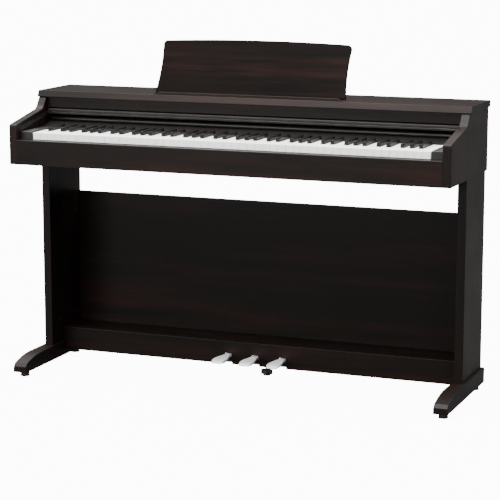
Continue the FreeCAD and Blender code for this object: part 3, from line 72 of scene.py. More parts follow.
def addLight(name, place, size, power):
    clearSelection()
    bpy.ops.object.light_add(type="AREA", location=place)
    light = bpy.context.object
    light.name = name
    light.data.shape = "RECTANGLE"
    light.data.size = size[0]
    light.data.size_y = size[1]
    light.data.energy = power
    aim = Vector(studio["target"]) - Vector(place)
    light.rotation_euler = aim.to_track_quat("-Z", "Y").to_euler()


for lightName in ("softbox", "rearBox", "frontBox", "fillBox"):
    addLight(lightName, **studio[lightName])

# node helpers


def addNode(tree, kind, inputs=None, **settings):
    node = tree.nodes.new(kind)
    for key, value in settings.items():
        setattr(node, key, value)
    for key, value in (inputs or {}).items():
        if isinstance(value, bpy.types.NodeSocket):
            tree.links.new(value, node.inputs[key])
        else:
            node.inputs[key].default_value = value
    return node


def spread(tree, value, low, high, toLow=0.0, toHigh=1.0):
    node = addNode(tree, "ShaderNodeMapRange", {
        "Value": value, "From Min": low, "From Max": high, "To Min": toLow, "To Max": toHigh})
    return node.outputs["Result"]


def times(tree, first, second):
    return addNode(tree, "ShaderNodeMath", {0: first, 1: second}, operation="MULTIPLY").outputs[0]


def plus(tree, first, second):
    return addNode(tree, "ShaderNodeMath", {0: first, 1: second}, operation="ADD").outputs[0]


def blendColour(tree, amount, first, second):
    node = addNode(tree, "ShaderNodeMix", data_type="RGBA")
    for socket, value in ((0, amount), (6, first), (7, second)):
        if isinstance(value, bpy.types.NodeSocket):
            tree.links.new(value, node.inputs[socket])
        else:
            node.inputs[socket].default_value = value
    return node.outputs[2]


def newGroup(name, inputs, outputs):
    tree = bpy.data.node_groups.new(name, "ShaderNodeTree")
    for label, (kind, value) in inputs.items():
        socket = tree.interface.new_socket(name=label, in_out="INPUT", socket_type="NodeSocket" + kind)
        socket.default_value = value
    for label, kind in outputs.items():
        tree.interface.new_socket(name=label, in_out="OUTPUT", socket_type="NodeSocket" + kind)
    return tree, tree.nodes.new("NodeGroupInput").outputs, tree.nodes.new("NodeGroupOutput").inputs


def objectPlace(tree):
    return addNode(tree, "ShaderNodeTexCoord").outputs["Object"]


def stretchedPlace(tree, stretch):
    place = objectPlace(tree)
    return addNode(tree, "ShaderNodeVectorMath", {0: place, 1: stretch}, operation="MULTIPLY").outputs[0]


def noise(tree, place, scale, detail=2.0, rough=0.5, twist=0.0):
    return addNode(tree, "ShaderNodeTexNoise", {
        "Vector": place, "Scale": scale, "Detail": detail, "Roughness": rough,
        "Distortion": twist}).outputs["Fac"]


def dot(tree, first, second):
    node = addNode(tree, "ShaderNodeVectorMath", {0: first, 1: second}, operation="DOT_PRODUCT")
    return node.outputs["Value"]


def between(tree, given, amount):
    span = addNode(tree, "ShaderNodeMath", {0: given["High"], 1: given["Low"]}, operation="SUBTRACT")
    return plus(tree, times(tree, amount, span.outputs[0]), given["Low"])


def seenGlow(tree):
    seen = addNode(tree, "ShaderNodeLightPath").outputs["Is Camera Ray"]
    return times(tree, seen, studio["floorGlow"])


def addAir():
    world = bpy.data.worlds.new("studioAir")
    world.use_nodes = True
    tree = world.node_tree
    direction = addNode(tree, "ShaderNodeTexCoord").outputs["Generated"]
    height = addNode(tree, "ShaderNodeSeparateXYZ", {0: direction}).outputs["Z"]
    tree.nodes["Background"].inputs["Color"].default_value = (1, 1, 1, 1)
    light = spread(tree, height, 0.45, 1.0, *studio["air"])
    tree.links.new(plus(tree, light, seenGlow(tree)), tree.nodes["Background"].inputs["Strength"])
    bpy.context.scene.world = world


addAir()

# shared effects


def makeLaminateGrain():
    tree, given, result = newGroup("laminateGrain", {
        "Stretch": ("Vector", (3, 40, 40)), "Ground": ("Color", (0.01, 0.01, 0.01, 1)),
        "Streak": ("Color", (0.03, 0.01, 0.01, 1)), "Amount": ("Float", 1.0)},
        {"Color": "Color", "Pores": "Float", "Height": "Float"})
    place = stretchedPlace(tree, given["Stretch"])
    zones = spread(tree, noise(tree, place, 0.22, 3, 0.5, 0.6), 0.44, 0.66)
    lines = spread(tree, noise(tree, place, 1.0, 7, 0.62, 0.35), 0.38, 0.7)
    fine = spread(tree, noise(tree, place, 7.0, 3, 0.6), 0.52, 0.74)
    amount = times(tree, times(tree, plus(tree, times(tree, zones, 0.75), 0.18), lines), given["Amount"])
    tinted = blendColour(tree, amount, given["Ground"], given["Streak"])
    poreTone = blendColour(tree, times(tree, fine, 0.45), tinted, (0.002, 0.0015, 0.001, 1))
    tree.links.new(poreTone, result["Color"])
    tree.links.new(fine, result["Pores"])
    tree.links.new(plus(tree, times(tree, lines, 0.35), times(tree, fine, -0.65)), result["Height"])
    return tree


def makeEdgeWear():
    tree, given, result = newGroup("edgeWear", {
        "Radius": ("Float", 0.0015), "Amount": ("Float", 0.5)}, {"Mask": "Float"})
    normal = addNode(tree, "ShaderNodeNewGeometry").outputs["Normal"]
    eased = addNode(tree, "ShaderNodeBevel", {"Radius": given["Radius"]}, samples=4).outputs["Normal"]
    edge = spread(tree, dot(tree, normal, eased), 0.985, 0.86)
    place = objectPlace(tree)
    patches = spread(tree, noise(tree, place, 55, 4, 0.6), 0.38, 0.66)
    tree.links.new(times(tree, times(tree, edge, patches), given["Amount"]), result["Mask"])
    return tree


def makeHandling():
    tree, given, result = newGroup("handling", {
        "Low": ("Float", 0.3), "High": ("Float", 0.5), "Scale": ("Float", 6.0)}, {"Roughness": "Float"})
    place = objectPlace(tree)
    broad = noise(tree, place, given["Scale"], 4, 0.55, 0.4)
    specks = spread(tree, noise(tree, place, 210, 2, 0.6), 0.6, 0.8, 0, 0.25)
    mixed = spread(tree, plus(tree, broad, specks), 0.3, 0.8)
    tree.links.new(between(tree, given, mixed), result["Roughness"])
    return tree


def makeMouldedSkin():
    tree, given, result = newGroup("mouldedSkin", {"Scale": ("Float", 900.0)},
                                   {"Height": "Float", "Shade": "Float"})
    place = objectPlace(tree)
    cells = addNode(tree, "ShaderNodeTexVoronoi", {"Vector": place, "Scale": given["Scale"]})
    tree.links.new(spread(tree, cells.outputs["Distance"], 0.0, 0.7), result["Height"])
    tree.links.new(spread(tree, noise(tree, place, 14, 5, 0.6), 0.3, 0.7), result["Shade"])
    return tree


def makeBrushing():
    tree, given, result = newGroup("brushing", {
        "Stretch": ("Vector", (20, 900, 900)), "Low": ("Float", 0.15), "High": ("Float", 0.35)},
        {"Roughness": "Float", "Height": "Float", "Shade": "Float"})
    lines = noise(tree, stretchedPlace(tree, given["Stretch"]), 1.0, 3, 0.6)
    tree.links.new(between(tree, given, spread(tree, lines, 0.3, 0.7)), result["Roughness"])
    tree.links.new(lines, result["Height"])
    place = objectPlace(tree)
    tree.links.new(spread(tree, noise(tree, place, 30, 4, 0.6), 0.35, 0.75), result["Shade"])
    return tree


def makeWeave():
    tree, given, result = newGroup("weave", {"Scale": ("Float", 700.0)},
                                   {"Height": "Float", "Shade": "Float"})
    place = objectPlace(tree)
    threads = []
    for direction in ("X", "Y"):
        wave = addNode(tree, "ShaderNodeTexWave", {
            "Vector": place, "Scale": given["Scale"], "Distortion": 0.6}, bands_direction=direction)
        threads.append(wave.outputs["Fac"])
    tree.links.new(times(tree, *threads), result["Height"])
    tree.links.new(spread(tree, noise(tree, place, 400, 3, 0.7), 0.3, 0.7), result["Shade"])
    return tree


groups = {
    "grain": makeLaminateGrain(), "edgeWear": makeEdgeWear(), "handling": makeHandling(),
    "mouldedSkin": makeMouldedSkin(), "brushing": makeBrushing(), "weave": makeWeave(),
}
print("made", len(groups), "shared shader groups")


def useGroup(tree, name, **values):
    node = tree.nodes.new("ShaderNodeGroup")
    node.node_tree = groups[name]
    for label, value in values.items():
        if isinstance(value, bpy.types.NodeSocket):
            tree.links.new(value, node.inputs[label])
        else:
            node.inputs[label].default_value = value
    return node.outputs


def newMaterial(name, **plain):
    material = bpy.data.materials.new(name)
    material.use_nodes = True
    tree = material.node_tree
    shader = tree.nodes["Principled BSDF"]
    for label, value in plain.items():
        shader.inputs[label.replace("_", " ")].default_value = value
    return material, tree, shader


def bump(tree, shader, height, strength, distance):
    node = addNode(tree, "ShaderNodeBump", {"Height": height, "Strength": strength, "Distance": distance})
    tree.links.new(node.outputs["Normal"], shader.inputs["Normal"])


# finishes of the piano

rosewood = {
    "ground": (0.0046, 0.0037, 0.0030, 1), "streak": (0.0190, 0.0070, 0.0053, 1),
    "worn": (0.022, 0.017, 0.013, 1), "rough": (0.33, 0.42), "specular": 0.09,
}


def woodFinish(name, stretch, amount=1.0, shade=1.0, gloss=1.0):
    material, tree, shader = newMaterial(name, Specular_IOR_Level=rosewood["specular"] * gloss)
    # shade scales the ground colour down: painted shade, which only the music rest uses
    ground = tuple(value * shade for value in rosewood["ground"][:3]) + (1,)
    grain = useGroup(tree, "grain", Stretch=stretch, Ground=ground, Streak=rosewood["streak"], Amount=amount)
    wear = useGroup(tree, "edgeWear", Radius=0.0014, Amount=0.55)
    touched = useGroup(tree, "handling", Low=rosewood["rough"][0], High=rosewood["rough"][1], Scale=5.0)
    colour = blendColour(tree, wear["Mask"], grain["Color"], rosewood["worn"])
    tree.links.new(colour, shader.inputs["Base Color"])
    rough = plus(tree, touched["Roughness"], times(tree, grain["Pores"], 0.06))
    tree.links.new(rough, shader.inputs["Roughness"])
    bump(tree, shader, grain["Height"], 0.10, 0.0004)
    return material


def plasticFinish(name, colour, rough, skin=900.0, depth=0.12, mottle=0.2, **plain):
    material, tree, shader = newMaterial(name, **plain)
    surface = useGroup(tree, "mouldedSkin", Scale=skin)
    wear = useGroup(tree, "edgeWear", Radius=0.0008, Amount=0.4)
    touched = useGroup(tree, "handling", Low=rough[0], High=rough[1], Scale=9.0)
    darker = tuple(value * (1 - mottle) for value in colour[:3]) + (1,)
    lighter = tuple(min(1, value * 1.6 + 0.01) for value in colour[:3]) + (1,)
    tone = blendColour(tree, surface["Shade"], darker, colour)
    tree.links.new(blendColour(tree, wear["Mask"], tone, lighter), shader.inputs["Base Color"])
    tree.links.new(touched["Roughness"], shader.inputs["Roughness"])
    bump(tree, shader, surface["Height"], depth, 0.00015)
    return material


def metalFinish(name, colour, rough, stretch, tarnish=(0.25, 0.22, 0.2, 1), stain=0.15, depth=0.05,
                metal=1.0):
    material, tree, shader = newMaterial(name, Metallic=metal)
    brushed = useGroup(tree, "brushing", Stretch=stretch, Low=rough[0], High=rough[1])
    wear = useGroup(tree, "edgeWear", Radius=0.0006, Amount=0.5)
    tone = blendColour(tree, times(tree, brushed["Shade"], stain), colour, tarnish)
    bright = tuple(min(1, value * 1.15) for value in colour[:3]) + (1,)
    tree.links.new(blendColour(tree, wear["Mask"], tone, bright), shader.inputs["Base Color"])
    tree.links.new(brushed["Roughness"], shader.inputs["Roughness"])
    bump(tree, shader, brushed["Height"], depth, 0.0001)
    return material


def feltFinish(name, colour, scale=1400.0):
    material, tree, shader = newMaterial(name, Roughness=0.95, Specular_IOR_Level=0.2, Sheen_Weight=0.35)
    place = objectPlace(tree)
    fibres = noise(tree, place, scale, 5, 0.75, 1.5)
    tufts = noise(tree, place, scale / 12, 3, 0.6)
    dark = tuple(value * 0.55 for value in colour[:3]) + (1,)
    nap = plus(tree, times(tree, fibres, 0.6), times(tree, tufts, 0.4))
    tone = blendColour(tree, spread(tree, nap, 0.35, 0.65), dark, colour)
    tree.links.new(tone, shader.inputs["Base Color"])
    bump(tree, shader, fibres, 0.5, 0.0003)
    return material


def circuitFinish(name):
    material, tree, shader = newMaterial(name, Roughness=0.35)
    place = objectPlace(tree)
    tracks = addNode(tree, "ShaderNodeTexBrick", {
        "Vector": place, "Scale": 60.0, "Color1": (0.01, 0.09, 0.035, 1), "Color2": (0.012, 0.11, 0.04, 1),
        "Mortar": (0.03, 0.2, 0.08, 1), "Mortar Size": 0.03, "Brick Width": 0.9, "Row Height": 0.22})
    pads = addNode(tree, "ShaderNodeTexVoronoi", {"Vector": place, "Scale": 160.0, "Randomness": 0.15})
    dots = spread(tree, pads.outputs["Distance"], 0.2, 0.16)
    colour = blendColour(tree, dots, tracks.outputs["Color"], (0.5, 0.47, 0.4, 1))
    tree.links.new(colour, shader.inputs["Base Color"])
    tree.links.new(times(tree, dots, 0.9), shader.inputs["Metallic"])
    bump(tree, shader, tracks.outputs["Fac"], 0.2, 0.0001)
    return material


def chipboardFinish(name):
    material, tree, shader = newMaterial(name, Specular_IOR_Level=0.25)
    place = objectPlace(tree)
    flakes = addNode(tree, "ShaderNodeTexVoronoi", {"Vector": place, "Scale": 260.0})
    tone = addNode(tree, "ShaderNodeSeparateColor", {"Color": flakes.outputs["Color"]}).outputs["Red"]
    wide = noise(tree, place, 9, 5, 0.6)
    amount = plus(tree, times(tree, tone, 0.45), times(tree, wide, 0.55))
    tree.links.new(blendColour(tree, amount, (0.008, 0.006, 0.005, 1), (0.034, 0.023, 0.017, 1)),
                   shader.inputs["Base Color"])
    tree.links.new(spread(tree, wide, 0.3, 0.7, 0.55, 0.75), shader.inputs["Roughness"])
    bump(tree, shader, tone, 0.15, 0.0002)
    return material


def whiteKeyFinish(name):
    material, tree, shader = newMaterial(name, Specular_IOR_Level=0.5, Coat_Weight=0.15, Coat_Roughness=0.2)
    place = objectPlace(tree)
    tint = noise(tree, stretchedPlace(tree, (42.5, 1.5, 1.5)), 1.0, 1)
    clouds = noise(tree, place, 38, 3, 0.5)
    ageing = plus(tree, times(tree, tint, 0.6), times(tree, clouds, 0.4))
    tone = blendColour(tree, spread(tree, ageing, 0.35, 0.65),
                       (0.86, 0.855, 0.83, 1), (0.91, 0.91, 0.895, 1))
    wear = useGroup(tree, "edgeWear", Radius=0.0008, Amount=0.3)
    tree.links.new(blendColour(tree, wear["Mask"], tone, (0.88, 0.88, 0.86, 1)), shader.inputs["Base Color"])
    touched = useGroup(tree, "handling", Low=0.26, High=0.42, Scale=24.0)
    tree.links.new(touched["Roughness"], shader.inputs["Roughness"])
    grainLines = noise(tree, stretchedPlace(tree, (500, 25, 25)), 1.0, 3, 0.6)
    bump(tree, shader, grainLines, 0.05, 0.0001)
    return material


def blackKeyFinish(name):
    material, tree, shader = newMaterial(name, Specular_IOR_Level=0.12)
    fibres = noise(tree, stretchedPlace(tree, (900, 30, 30)), 1.0, 4, 0.65)
    wear = useGroup(tree, "edgeWear", Radius=0.0015, Amount=0.5)
    tone = blendColour(tree, spread(tree, fibres, 0.35, 0.7),
                       (0.0025, 0.0024, 0.0023, 1), (0.006, 0.0057, 0.0054, 1))
    worn = blendColour(tree, wear["Mask"], tone, (0.03, 0.028, 0.026, 1))
    tree.links.new(worn, shader.inputs["Base Color"])
    touched = useGroup(tree, "handling", Low=0.34, High=0.5, Scale=30.0)
    tree.links.new(touched["Roughness"], shader.inputs["Roughness"])
    bump(tree, shader, fibres, 0.12, 0.00015)
    return material


finishes = {
    "woodAlong": woodFinish("rosewoodAlong", (2.6, 46, 46)),
    "woodUp": woodFinish("rosewoodUp", (46, 46, 2.6)),
    # music rest: the same laminate made darker (shade 0.45) and less glossy; the darker colour is painted
    # shade for how light falls on the rest, not a darker wood
    "woodRestPaintedShade": woodFinish("restLaminatePaintedShade", (2.6, 46, 46), amount=0.8, shade=0.45, gloss=0.35),
    "woodDeep": woodFinish("rosewoodDeep", (46, 2.6, 46)),
    "chipboard": chipboardFinish("rawBoard"),
    "fasciaBlack": plasticFinish("fasciaBlack", (0.014, 0.0145, 0.014, 1), (0.30, 0.40),
                                 depth=0.05, Specular_IOR_Level=0.3),
    "fasciaBrown": plasticFinish("fasciaBrown", (0.011, 0.0092, 0.0083, 1), (0.42, 0.55),
                                 depth=0.08, Specular_IOR_Level=0.12),
    "coverRail": plasticFinish("coverRail", (0.017, 0.0155, 0.0145, 1), (0.34, 0.44),
                               depth=0.05, Specular_IOR_Level=0.2),
    "cheekPlastic": plasticFinish("cheekPlastic", (0.016, 0.0155, 0.015, 1), (0.42, 0.55),
                                  depth=0.15, Specular_IOR_Level=0.2),
    "blackPlastic": plasticFinish("blackPlastic", (0.014, 0.014, 0.014, 1), (0.4, 0.55), depth=0.2),
    "buttonPlastic": plasticFinish("buttonPlastic", (0.03, 0.03, 0.031, 1), (0.3, 0.42), depth=0.05),
    "socketPlastic": plasticFinish("socketPlastic", (0.018, 0.018, 0.019, 1), (0.35, 0.5)),
    "padRubber": plasticFinish("padRubber", (0.012, 0.012, 0.012, 1), (0.65, 0.85), skin=1500.0, depth=0.3),
    "sheetSteel": metalFinish("sheetSteel", (0.52, 0.52, 0.51, 1), (0.28, 0.45), (30, 600, 600), stain=0.3),
    "steel": metalFinish("steel", (0.09, 0.09, 0.088, 1), (0.24, 0.40), (400, 40, 400),
                         tarnish=(0.05, 0.045, 0.04, 1)),
    "springSteel": metalFinish("springSteel", (0.42, 0.41, 0.40, 1), (0.22, 0.4), (300, 300, 300)),
    "screwSteel": metalFinish("screwSteel", (0.12, 0.115, 0.11, 1), (0.3, 0.45), (700, 700, 700)),
    "pedalChrome": metalFinish("pedalChrome", (0.90, 0.90, 0.89, 1), (0.36, 0.50), (350, 14, 350), stain=0.06,
                               metal=0.45),
    "grilleMetal": metalFinish("grilleMetal", (0.05, 0.05, 0.05, 1), (0.4, 0.6), (500, 500, 500)),
    "paperCone": feltFinish("paperCone", (0.03, 0.03, 0.03, 1), 700.0),
    "stopFelt": feltFinish("stopFelt", (0.20, 0.035, 0.03, 1)),
    "darkFelt": feltFinish("darkFelt", (0.045, 0.011, 0.010, 1)),
    "speakerCloth": feltFinish("speakerCloth", (0.012, 0.012, 0.012, 1), 1800.0),
    "markPaint": plasticFinish("markPaint", (0.45, 0.45, 0.43, 1), (0.4, 0.55)),
    "circuit": circuitFinish("circuitBoard"),
    "whiteKey": whiteKeyFinish("whiteKey"),
    "blackKey": blackKeyFinish("blackKey"),
}

finishOfNode = {
    "woodAlong": ["top_board", "key_slip", "name_panel", "rest_ledge", "back_board", "pedal_front_board",
                  "pedal_lid", "key_cover"],
    # the music rest takes the copy of the laminate darkened with painted shade
    "woodRestPaintedShade": ["music_rest"],
    "woodUp": ["left_side_panel", "right_side_panel", "left_leg", "right_leg"],
    "woodDeep": ["left_foot", "right_foot"],
    "chipboard": ["key_bed", "cabinet_back"],
    "fasciaBlack": ["fascia_rail"],
    "fasciaBrown": ["key_back_strip"],
    "coverRail": ["key_cover_rail"],
    "cheekPlastic": ["cheek_blocks"],
    "blackPlastic": ["cover_guides", "support_bolt"],
    "buttonPlastic": ["sound_button", "metronome_button", "power_button", "volume_slider"],
    "socketPlastic": ["sockets"],
    "padRubber": ["foot_pads"],
    "sheetSteel": ["key_frame", "pedal_base"],
    "steel": ["rest_brackets", "rest_tracks", "left_rest_stay", "right_rest_stay", "pedal_axle"],
    "springSteel": ["pedal_springs"],
    "screwSteel": ["assembly_screws"],
    "pedalChrome": ["left_pedal", "middle_pedal", "right_pedal"],
    "grilleMetal": ["speaker_grilles"],
    "paperCone": ["speakers"],
    "stopFelt": ["stop_felt"],
    "circuit": ["contact_board", "main_board"],
    "whiteKey": ["white_keys"] + ["key_" + note for note in "cdefgab"],
    "blackKey": ["black_keys"] + ["key_" + note + "_sharp" for note in "cdfga"],
}


def dressNodes():
    dressed = set()
    for finish, names in finishOfNode.items():
        for name in names:
            piece = nodes[name]
            if not piece.material_slots:
                piece.data.materials.append(finishes[finish])
            for place in piece.material_slots:
                place.material = finishes[finish]
            dressed.add(name)
    print("dressed", len(dressed), "nodes; without a finish:", sorted(set(nodes) - dressed))


dressNodes()

# modelling helpers for the new pieces


def boxPiece(name, low, high):
    clearSelection()
    centre = [(a + b) / 2 for a, b in zip(low, high)]
    bpy.ops.mesh.primitive_cube_add(size=1, location=centre, scale=[b - a for a, b in zip(low, high)])
    return beginPiece(name)


def roundPiece(name, radius, length, centre, sides=40, alongX=False, caps="NGON"):
    clearSelection()
    bpy.ops.mesh.primitive_cylinder_add(vertices=sides, radius=radius, depth=length, end_fill_type=caps,
                                        location=centre, rotation=(0, math.pi / 2 if alongX else 0, 0))
    return beginPiece(name)


def beginPiece(name):
    piece = bpy.context.object
    piece.name = name
    piece.data.name = name
    bpy.ops.object.transform_apply(location=True, rotation=True, scale=True)
    return piece


def pickFaces(piece, test):
    bpy.ops.object.mode_set(mode="EDIT")
    bpy.ops.mesh.select_mode(type="FACE")
    bpy.ops.mesh.select_all(action="DESELECT")
    bpy.ops.object.mode_set(mode="OBJECT")
    for face in piece.data.polygons:
        face.select = test(face.center, face.normal)
    bpy.ops.object.mode_set(mode="EDIT")


def pickEdges(piece, test):
    bpy.ops.object.mode_set(mode="EDIT")
    bpy.ops.mesh.select_mode(type="EDGE")
    bpy.ops.mesh.select_all(action="DESELECT")
    bpy.ops.object.mode_set(mode="OBJECT")
    points = piece.data.vertices
    for edge in piece.data.edges:
        edge.select = test(points[edge.vertices[0]].co, points[edge.vertices[1]].co)
    bpy.ops.object.mode_set(mode="EDIT")


def push(move, grow=None, centre=None):
    bpy.ops.mesh.extrude_region_move(TRANSFORM_OT_translate={"value": move})
    if grow:
        bpy.ops.transform.resize(value=grow, center_override=centre)


def soften(piece, width, segments=2, levels=0, limit=35):
    bpy.ops.object.mode_set(mode="OBJECT")
    rounding = piece.modifiers.new("rounding", "BEVEL")
    rounding.width = width
    rounding.segments = segments
    rounding.limit_method = "ANGLE"
    rounding.angle_limit = math.radians(limit)
    bpy.ops.object.modifier_apply(modifier="rounding")
    if levels:
        smooth = piece.modifiers.new("smooth", "SUBSURF")
        smooth.levels = levels
        bpy.ops.object.modifier_apply(modifier="smooth")


def cleanUp(weld=0.00001, smoothAngle=38):      # acts on the piece in hand
    bpy.ops.object.mode_set(mode="EDIT")
    bpy.ops.mesh.select_all(action="SELECT")
    bpy.ops.mesh.remove_doubles(threshold=weld)
    bpy.ops.mesh.normals_make_consistent(inside=False)
    bpy.ops.object.mode_set(mode="OBJECT")
    bpy.ops.object.shade_smooth_by_angle(angle=math.radians(smoothAngle))


def copyTo(piece, name, move):
    clearSelection()
    piece.select_set(True)
    bpy.context.view_layer.objects.active = piece
    bpy.ops.object.duplicate(linked=False)
    bpy.ops.transform.translate(value=move)
    return beginPiece(name)


def joinAll(pieces):
    clearSelection()
    for piece in pieces:
        piece.select_set(True)
    bpy.context.view_layer.objects.active = pieces[0]
    bpy.ops.object.join()
    return pieces[0]


def hangOn(piece, finish, body, node=None):
    piece.data.materials.clear()
    piece.data.materials.append(finishes[finish])
    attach(piece, body)
    if node:
        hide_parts(node)


# pedals: cast blades with a crowned top, each on a tube round the axle

pedal = {
    "axisY": 0.120, "axisZ": 0.057, "top": 0.064, "thick": 0.0078, "padFront": -0.002, "padBack": 0.011,
    "wide": 0.040, "columns": 6, "crown": 0.0007, "crownHalf": 0.0075, "crownBack": 0.10,
    "backSteps": ((0.018, 0.86), (0.027, 0.58), (0.030, 0.96), (0.027, 1.0)),   # reach and width
    "tipSteps": ((0.008, 0.0008, 0.98), (0.007, 0.0018, 0.92), (0.004, 0.0022, 0.80)),  # and drop
    "tipThinning": 0.86, "tipSearch": 0.002, "hubSink": 0.0030, "crownDown": 0.004, "edge": 0.0012,
    "hubRound": 0.009, "hubWide": 0.020, "hubWall": 0.0045, "hubEdge": 0.0007, "pitch": 0.088,
}


def makePedal():
    half, underside = pedal["wide"] / 2, pedal["top"] - pedal["thick"]
    middle = pedal["top"] - pedal["thick"] / 2
    blade = boxPiece("pedalBlade", (-half, pedal["padFront"], underside),
                     (half, pedal["padBack"], pedal["top"]))
    pickEdges(blade, lambda a, b: abs(a.x - b.x) > half)
    bpy.ops.mesh.subdivide(number_cuts=pedal["columns"] - 1)
    for reach, grow in pedal["backSteps"]:      # back to the hub
        farY = max(point.co.y for point in blade.data.vertices)
        pickFaces(blade, lambda place, facing: facing.y > 0.9 and place.y > farY - pedal["edge"])
        push((0, reach, 0), (grow, 1, 1), (0, farY, middle))
        bpy.ops.object.mode_set(mode="OBJECT")
    pickFaces(blade, lambda place, facing: facing.y > 0.9 and place.y > pedal["crownBack"])
    bpy.ops.transform.translate(value=(0, 0, -pedal["hubSink"]))
    for reach, drop, grow in pedal["tipSteps"]:
        bpy.ops.object.mode_set(mode="OBJECT")
        nearY = min(point.co.y for point in blade.data.vertices)
        pickFaces(blade, lambda place, facing: facing.y < -0.5 and place.y < nearY + pedal["tipSearch"])
        push((0, -reach, -drop), (grow, 1, pedal["tipThinning"]), (0, nearY - reach, middle - drop))
    bpy.ops.object.mode_set(mode="OBJECT")
    pickEdges(blade, lambda a, b: max(abs(a.x), abs(b.x)) < pedal["crownHalf"]
              and min(a.z, b.z) > middle - pedal["crownDown"] and max(a.y, b.y) < pedal["crownBack"])
    bpy.ops.transform.translate(value=(0, 0, pedal["crown"]))
    soften(blade, pedal["edge"], levels=2)
    cleanUp()
    hub = roundPiece("pedalHub", pedal["hubRound"], pedal["hubWide"], (0, pedal["axisY"], pedal["axisZ"]),
                     alongX=True, caps="NOTHING")
    wall = hub.modifiers.new("wall", "SOLIDIFY")
    wall.thickness = pedal["hubWall"]
    wall.offset = -1
    bpy.ops.object.modifier_apply(modifier="wall")
    soften(hub, pedal["hubEdge"])
    cleanUp()
    return joinAll([blade, hub])


def addPedals():
    first = makePedal()
    for side, move in (("middle", 0), ("left", -pedal["pitch"]), ("right", pedal["pitch"])):
        piece = first if side == "middle" else copyTo(first, side + "PedalCast", (move, 0, 0))
        piece.name = side + "PedalCast"
        hangOn(piece, "pedalChrome", side + "_pedal", side + "_pedal")
    print("three pedals cast")


addPedals()

# rubber pads under the feet

footPad = {
    "round": 0.014, "tall": 0.017, "placeX": 0.65925, "placeY": 0.169, "rim": 0.0022, "edge": 0.0006,
    "ring": (0.0016, -0.0015),      # ring that stands on the floor: wide, deep
    "bands": 4, "waistLow": 0.0045, "waistHigh": 0.0125, "waistDeep": -0.0007,
}


def addFootPads():
    pad = roundPiece("footPad", footPad["round"], footPad["tall"], (0, 0, footPad["tall"] / 2))
    pickFaces(pad, lambda place, facing: facing.z < -0.9)
    bpy.ops.mesh.inset(thickness=footPad["rim"], depth=0)
    bpy.ops.mesh.inset(thickness=footPad["ring"][0], depth=footPad["ring"][1])
    pickEdges(pad, lambda a, b: abs(a.z - b.z) > footPad["tall"] - footPad["edge"])
    bpy.ops.mesh.subdivide(number_cuts=footPad["bands"] - 1)
    pickFaces(pad, lambda place, facing: abs(facing.z) < 0.3
              and footPad["waistLow"] < place.z < footPad["waistHigh"]
              and place.xy.length > footPad["round"] - footPad["edge"])
    bpy.ops.mesh.inset(thickness=footPad["edge"], depth=footPad["waistDeep"], use_even_offset=True)
    soften(pad, footPad["edge"])
    cleanUp()
    pads = [pad]
    for number, (right, back) in enumerate(((1, -1), (-1, 1), (1, 1)), start=2):
        pads.append(copyTo(pad, "footPad" + str(number),
                           (right * footPad["placeX"], back * footPad["placeY"], 0)))
    clearSelection()
    pad.select_set(True)
    bpy.context.view_layer.objects.active = pad
    bpy.ops.transform.translate(value=(-footPad["placeX"], -footPad["placeY"], 0))
    bpy.ops.object.transform_apply(location=True)
    allPads = joinAll(pads)
    allPads.name = "footPads"
    hangOn(allPads, "padRubber", "piano", "foot_pads")
    print("four foot pads moulded")


addFootPads()

# support bolt: lobed knob, threaded stud and a disc for the floor

boltKnob = {
    "place": (0.026, 0.104), "round": 0.018, "low": 0.0045, "high": 0.018,
    "hollows": ((21, 0.86), (15, 0.88), (8, 0.93)),         # half angle between two lobes, and how far in
    "rim": 0.004, "dome": 0.0012, "domeShrink": 0.8, "edge": 0.0012,
    "stud": 0.004, "studLow": 0.010, "studTop": 0.058, "threadTurns": 28, "threadDeep": 0.86,
    "disc": 0.011, "discTall": 0.005, "discRim": 0.0025, "discHollow": -0.0006, "discEdge": 0.0007,
}


def addBoltKnob():
    x, y = boltKnob["place"]
    low, high = boltKnob["low"], boltKnob["high"]
    studLow, studTop = boltKnob["studLow"], boltKnob["studTop"]
    knob = roundPiece("boltKnob", boltKnob["round"], high - low, (x, y, (high + low) / 2), sides=64)

    def waistOf(place, spreadAngle):
        turn = math.degrees(math.atan2(place.y - y, place.x - x)) % 90
        return abs(turn - 45) < spreadAngle

    for spreadAngle, waist in boltKnob["hollows"]:
        pickFaces(knob, lambda place, facing: abs(facing.z) < 0.5 and waistOf(place, spreadAngle))
        bpy.ops.transform.resize(value=(waist, waist, 1), center_override=(x, y, high))
    pickFaces(knob, lambda place, facing: facing.z > 0.9)
    bpy.ops.mesh.inset(thickness=boltKnob["rim"], depth=0)
    push((0, 0, boltKnob["dome"]), (boltKnob["domeShrink"], boltKnob["domeShrink"], 1), (x, y, high))
    bpy.ops.transform.translate(value=(0, 0, -boltKnob["dome"]))
    soften(knob, boltKnob["edge"], 3, limit=50)
    cleanUp()
    stud = roundPiece("boltStud", boltKnob["stud"], studTop - studLow, (x, y, (studTop + studLow) / 2),
                      sides=24)
    pickEdges(stud, lambda a, b: abs(a.z - b.z) > boltKnob["round"])
    rings = 2 * boltKnob["threadTurns"]
    bpy.ops.mesh.subdivide(number_cuts=rings - 1)
    step = (studTop - studLow) / rings
    pickEdges(stud, lambda a, b: abs(a.z - b.z) < step / 2 and round((a.z - studLow) / step) % 2 == 1)
    deep = boltKnob["threadDeep"]
    bpy.ops.transform.resize(value=(deep, deep, 1), center_override=(x, y, studLow))
    cleanUp()
    disc = roundPiece("boltDisc", boltKnob["disc"], boltKnob["discTall"], (x, y, boltKnob["discTall"] / 2))
    pickFaces(disc, lambda place, facing: facing.z < -0.9)
    bpy.ops.mesh.inset(thickness=boltKnob["discRim"], depth=boltKnob["discHollow"])
    soften(disc, boltKnob["discEdge"])
    cleanUp()
    whole = joinAll([knob, stud, disc])
    whole.name = "supportBoltTurned"
    hangOn(whole, "blackPlastic", "support_bolt", "support_bolt")
    print("support bolt turned")


addBoltKnob()

# felt strip under the fascia, behind the keys

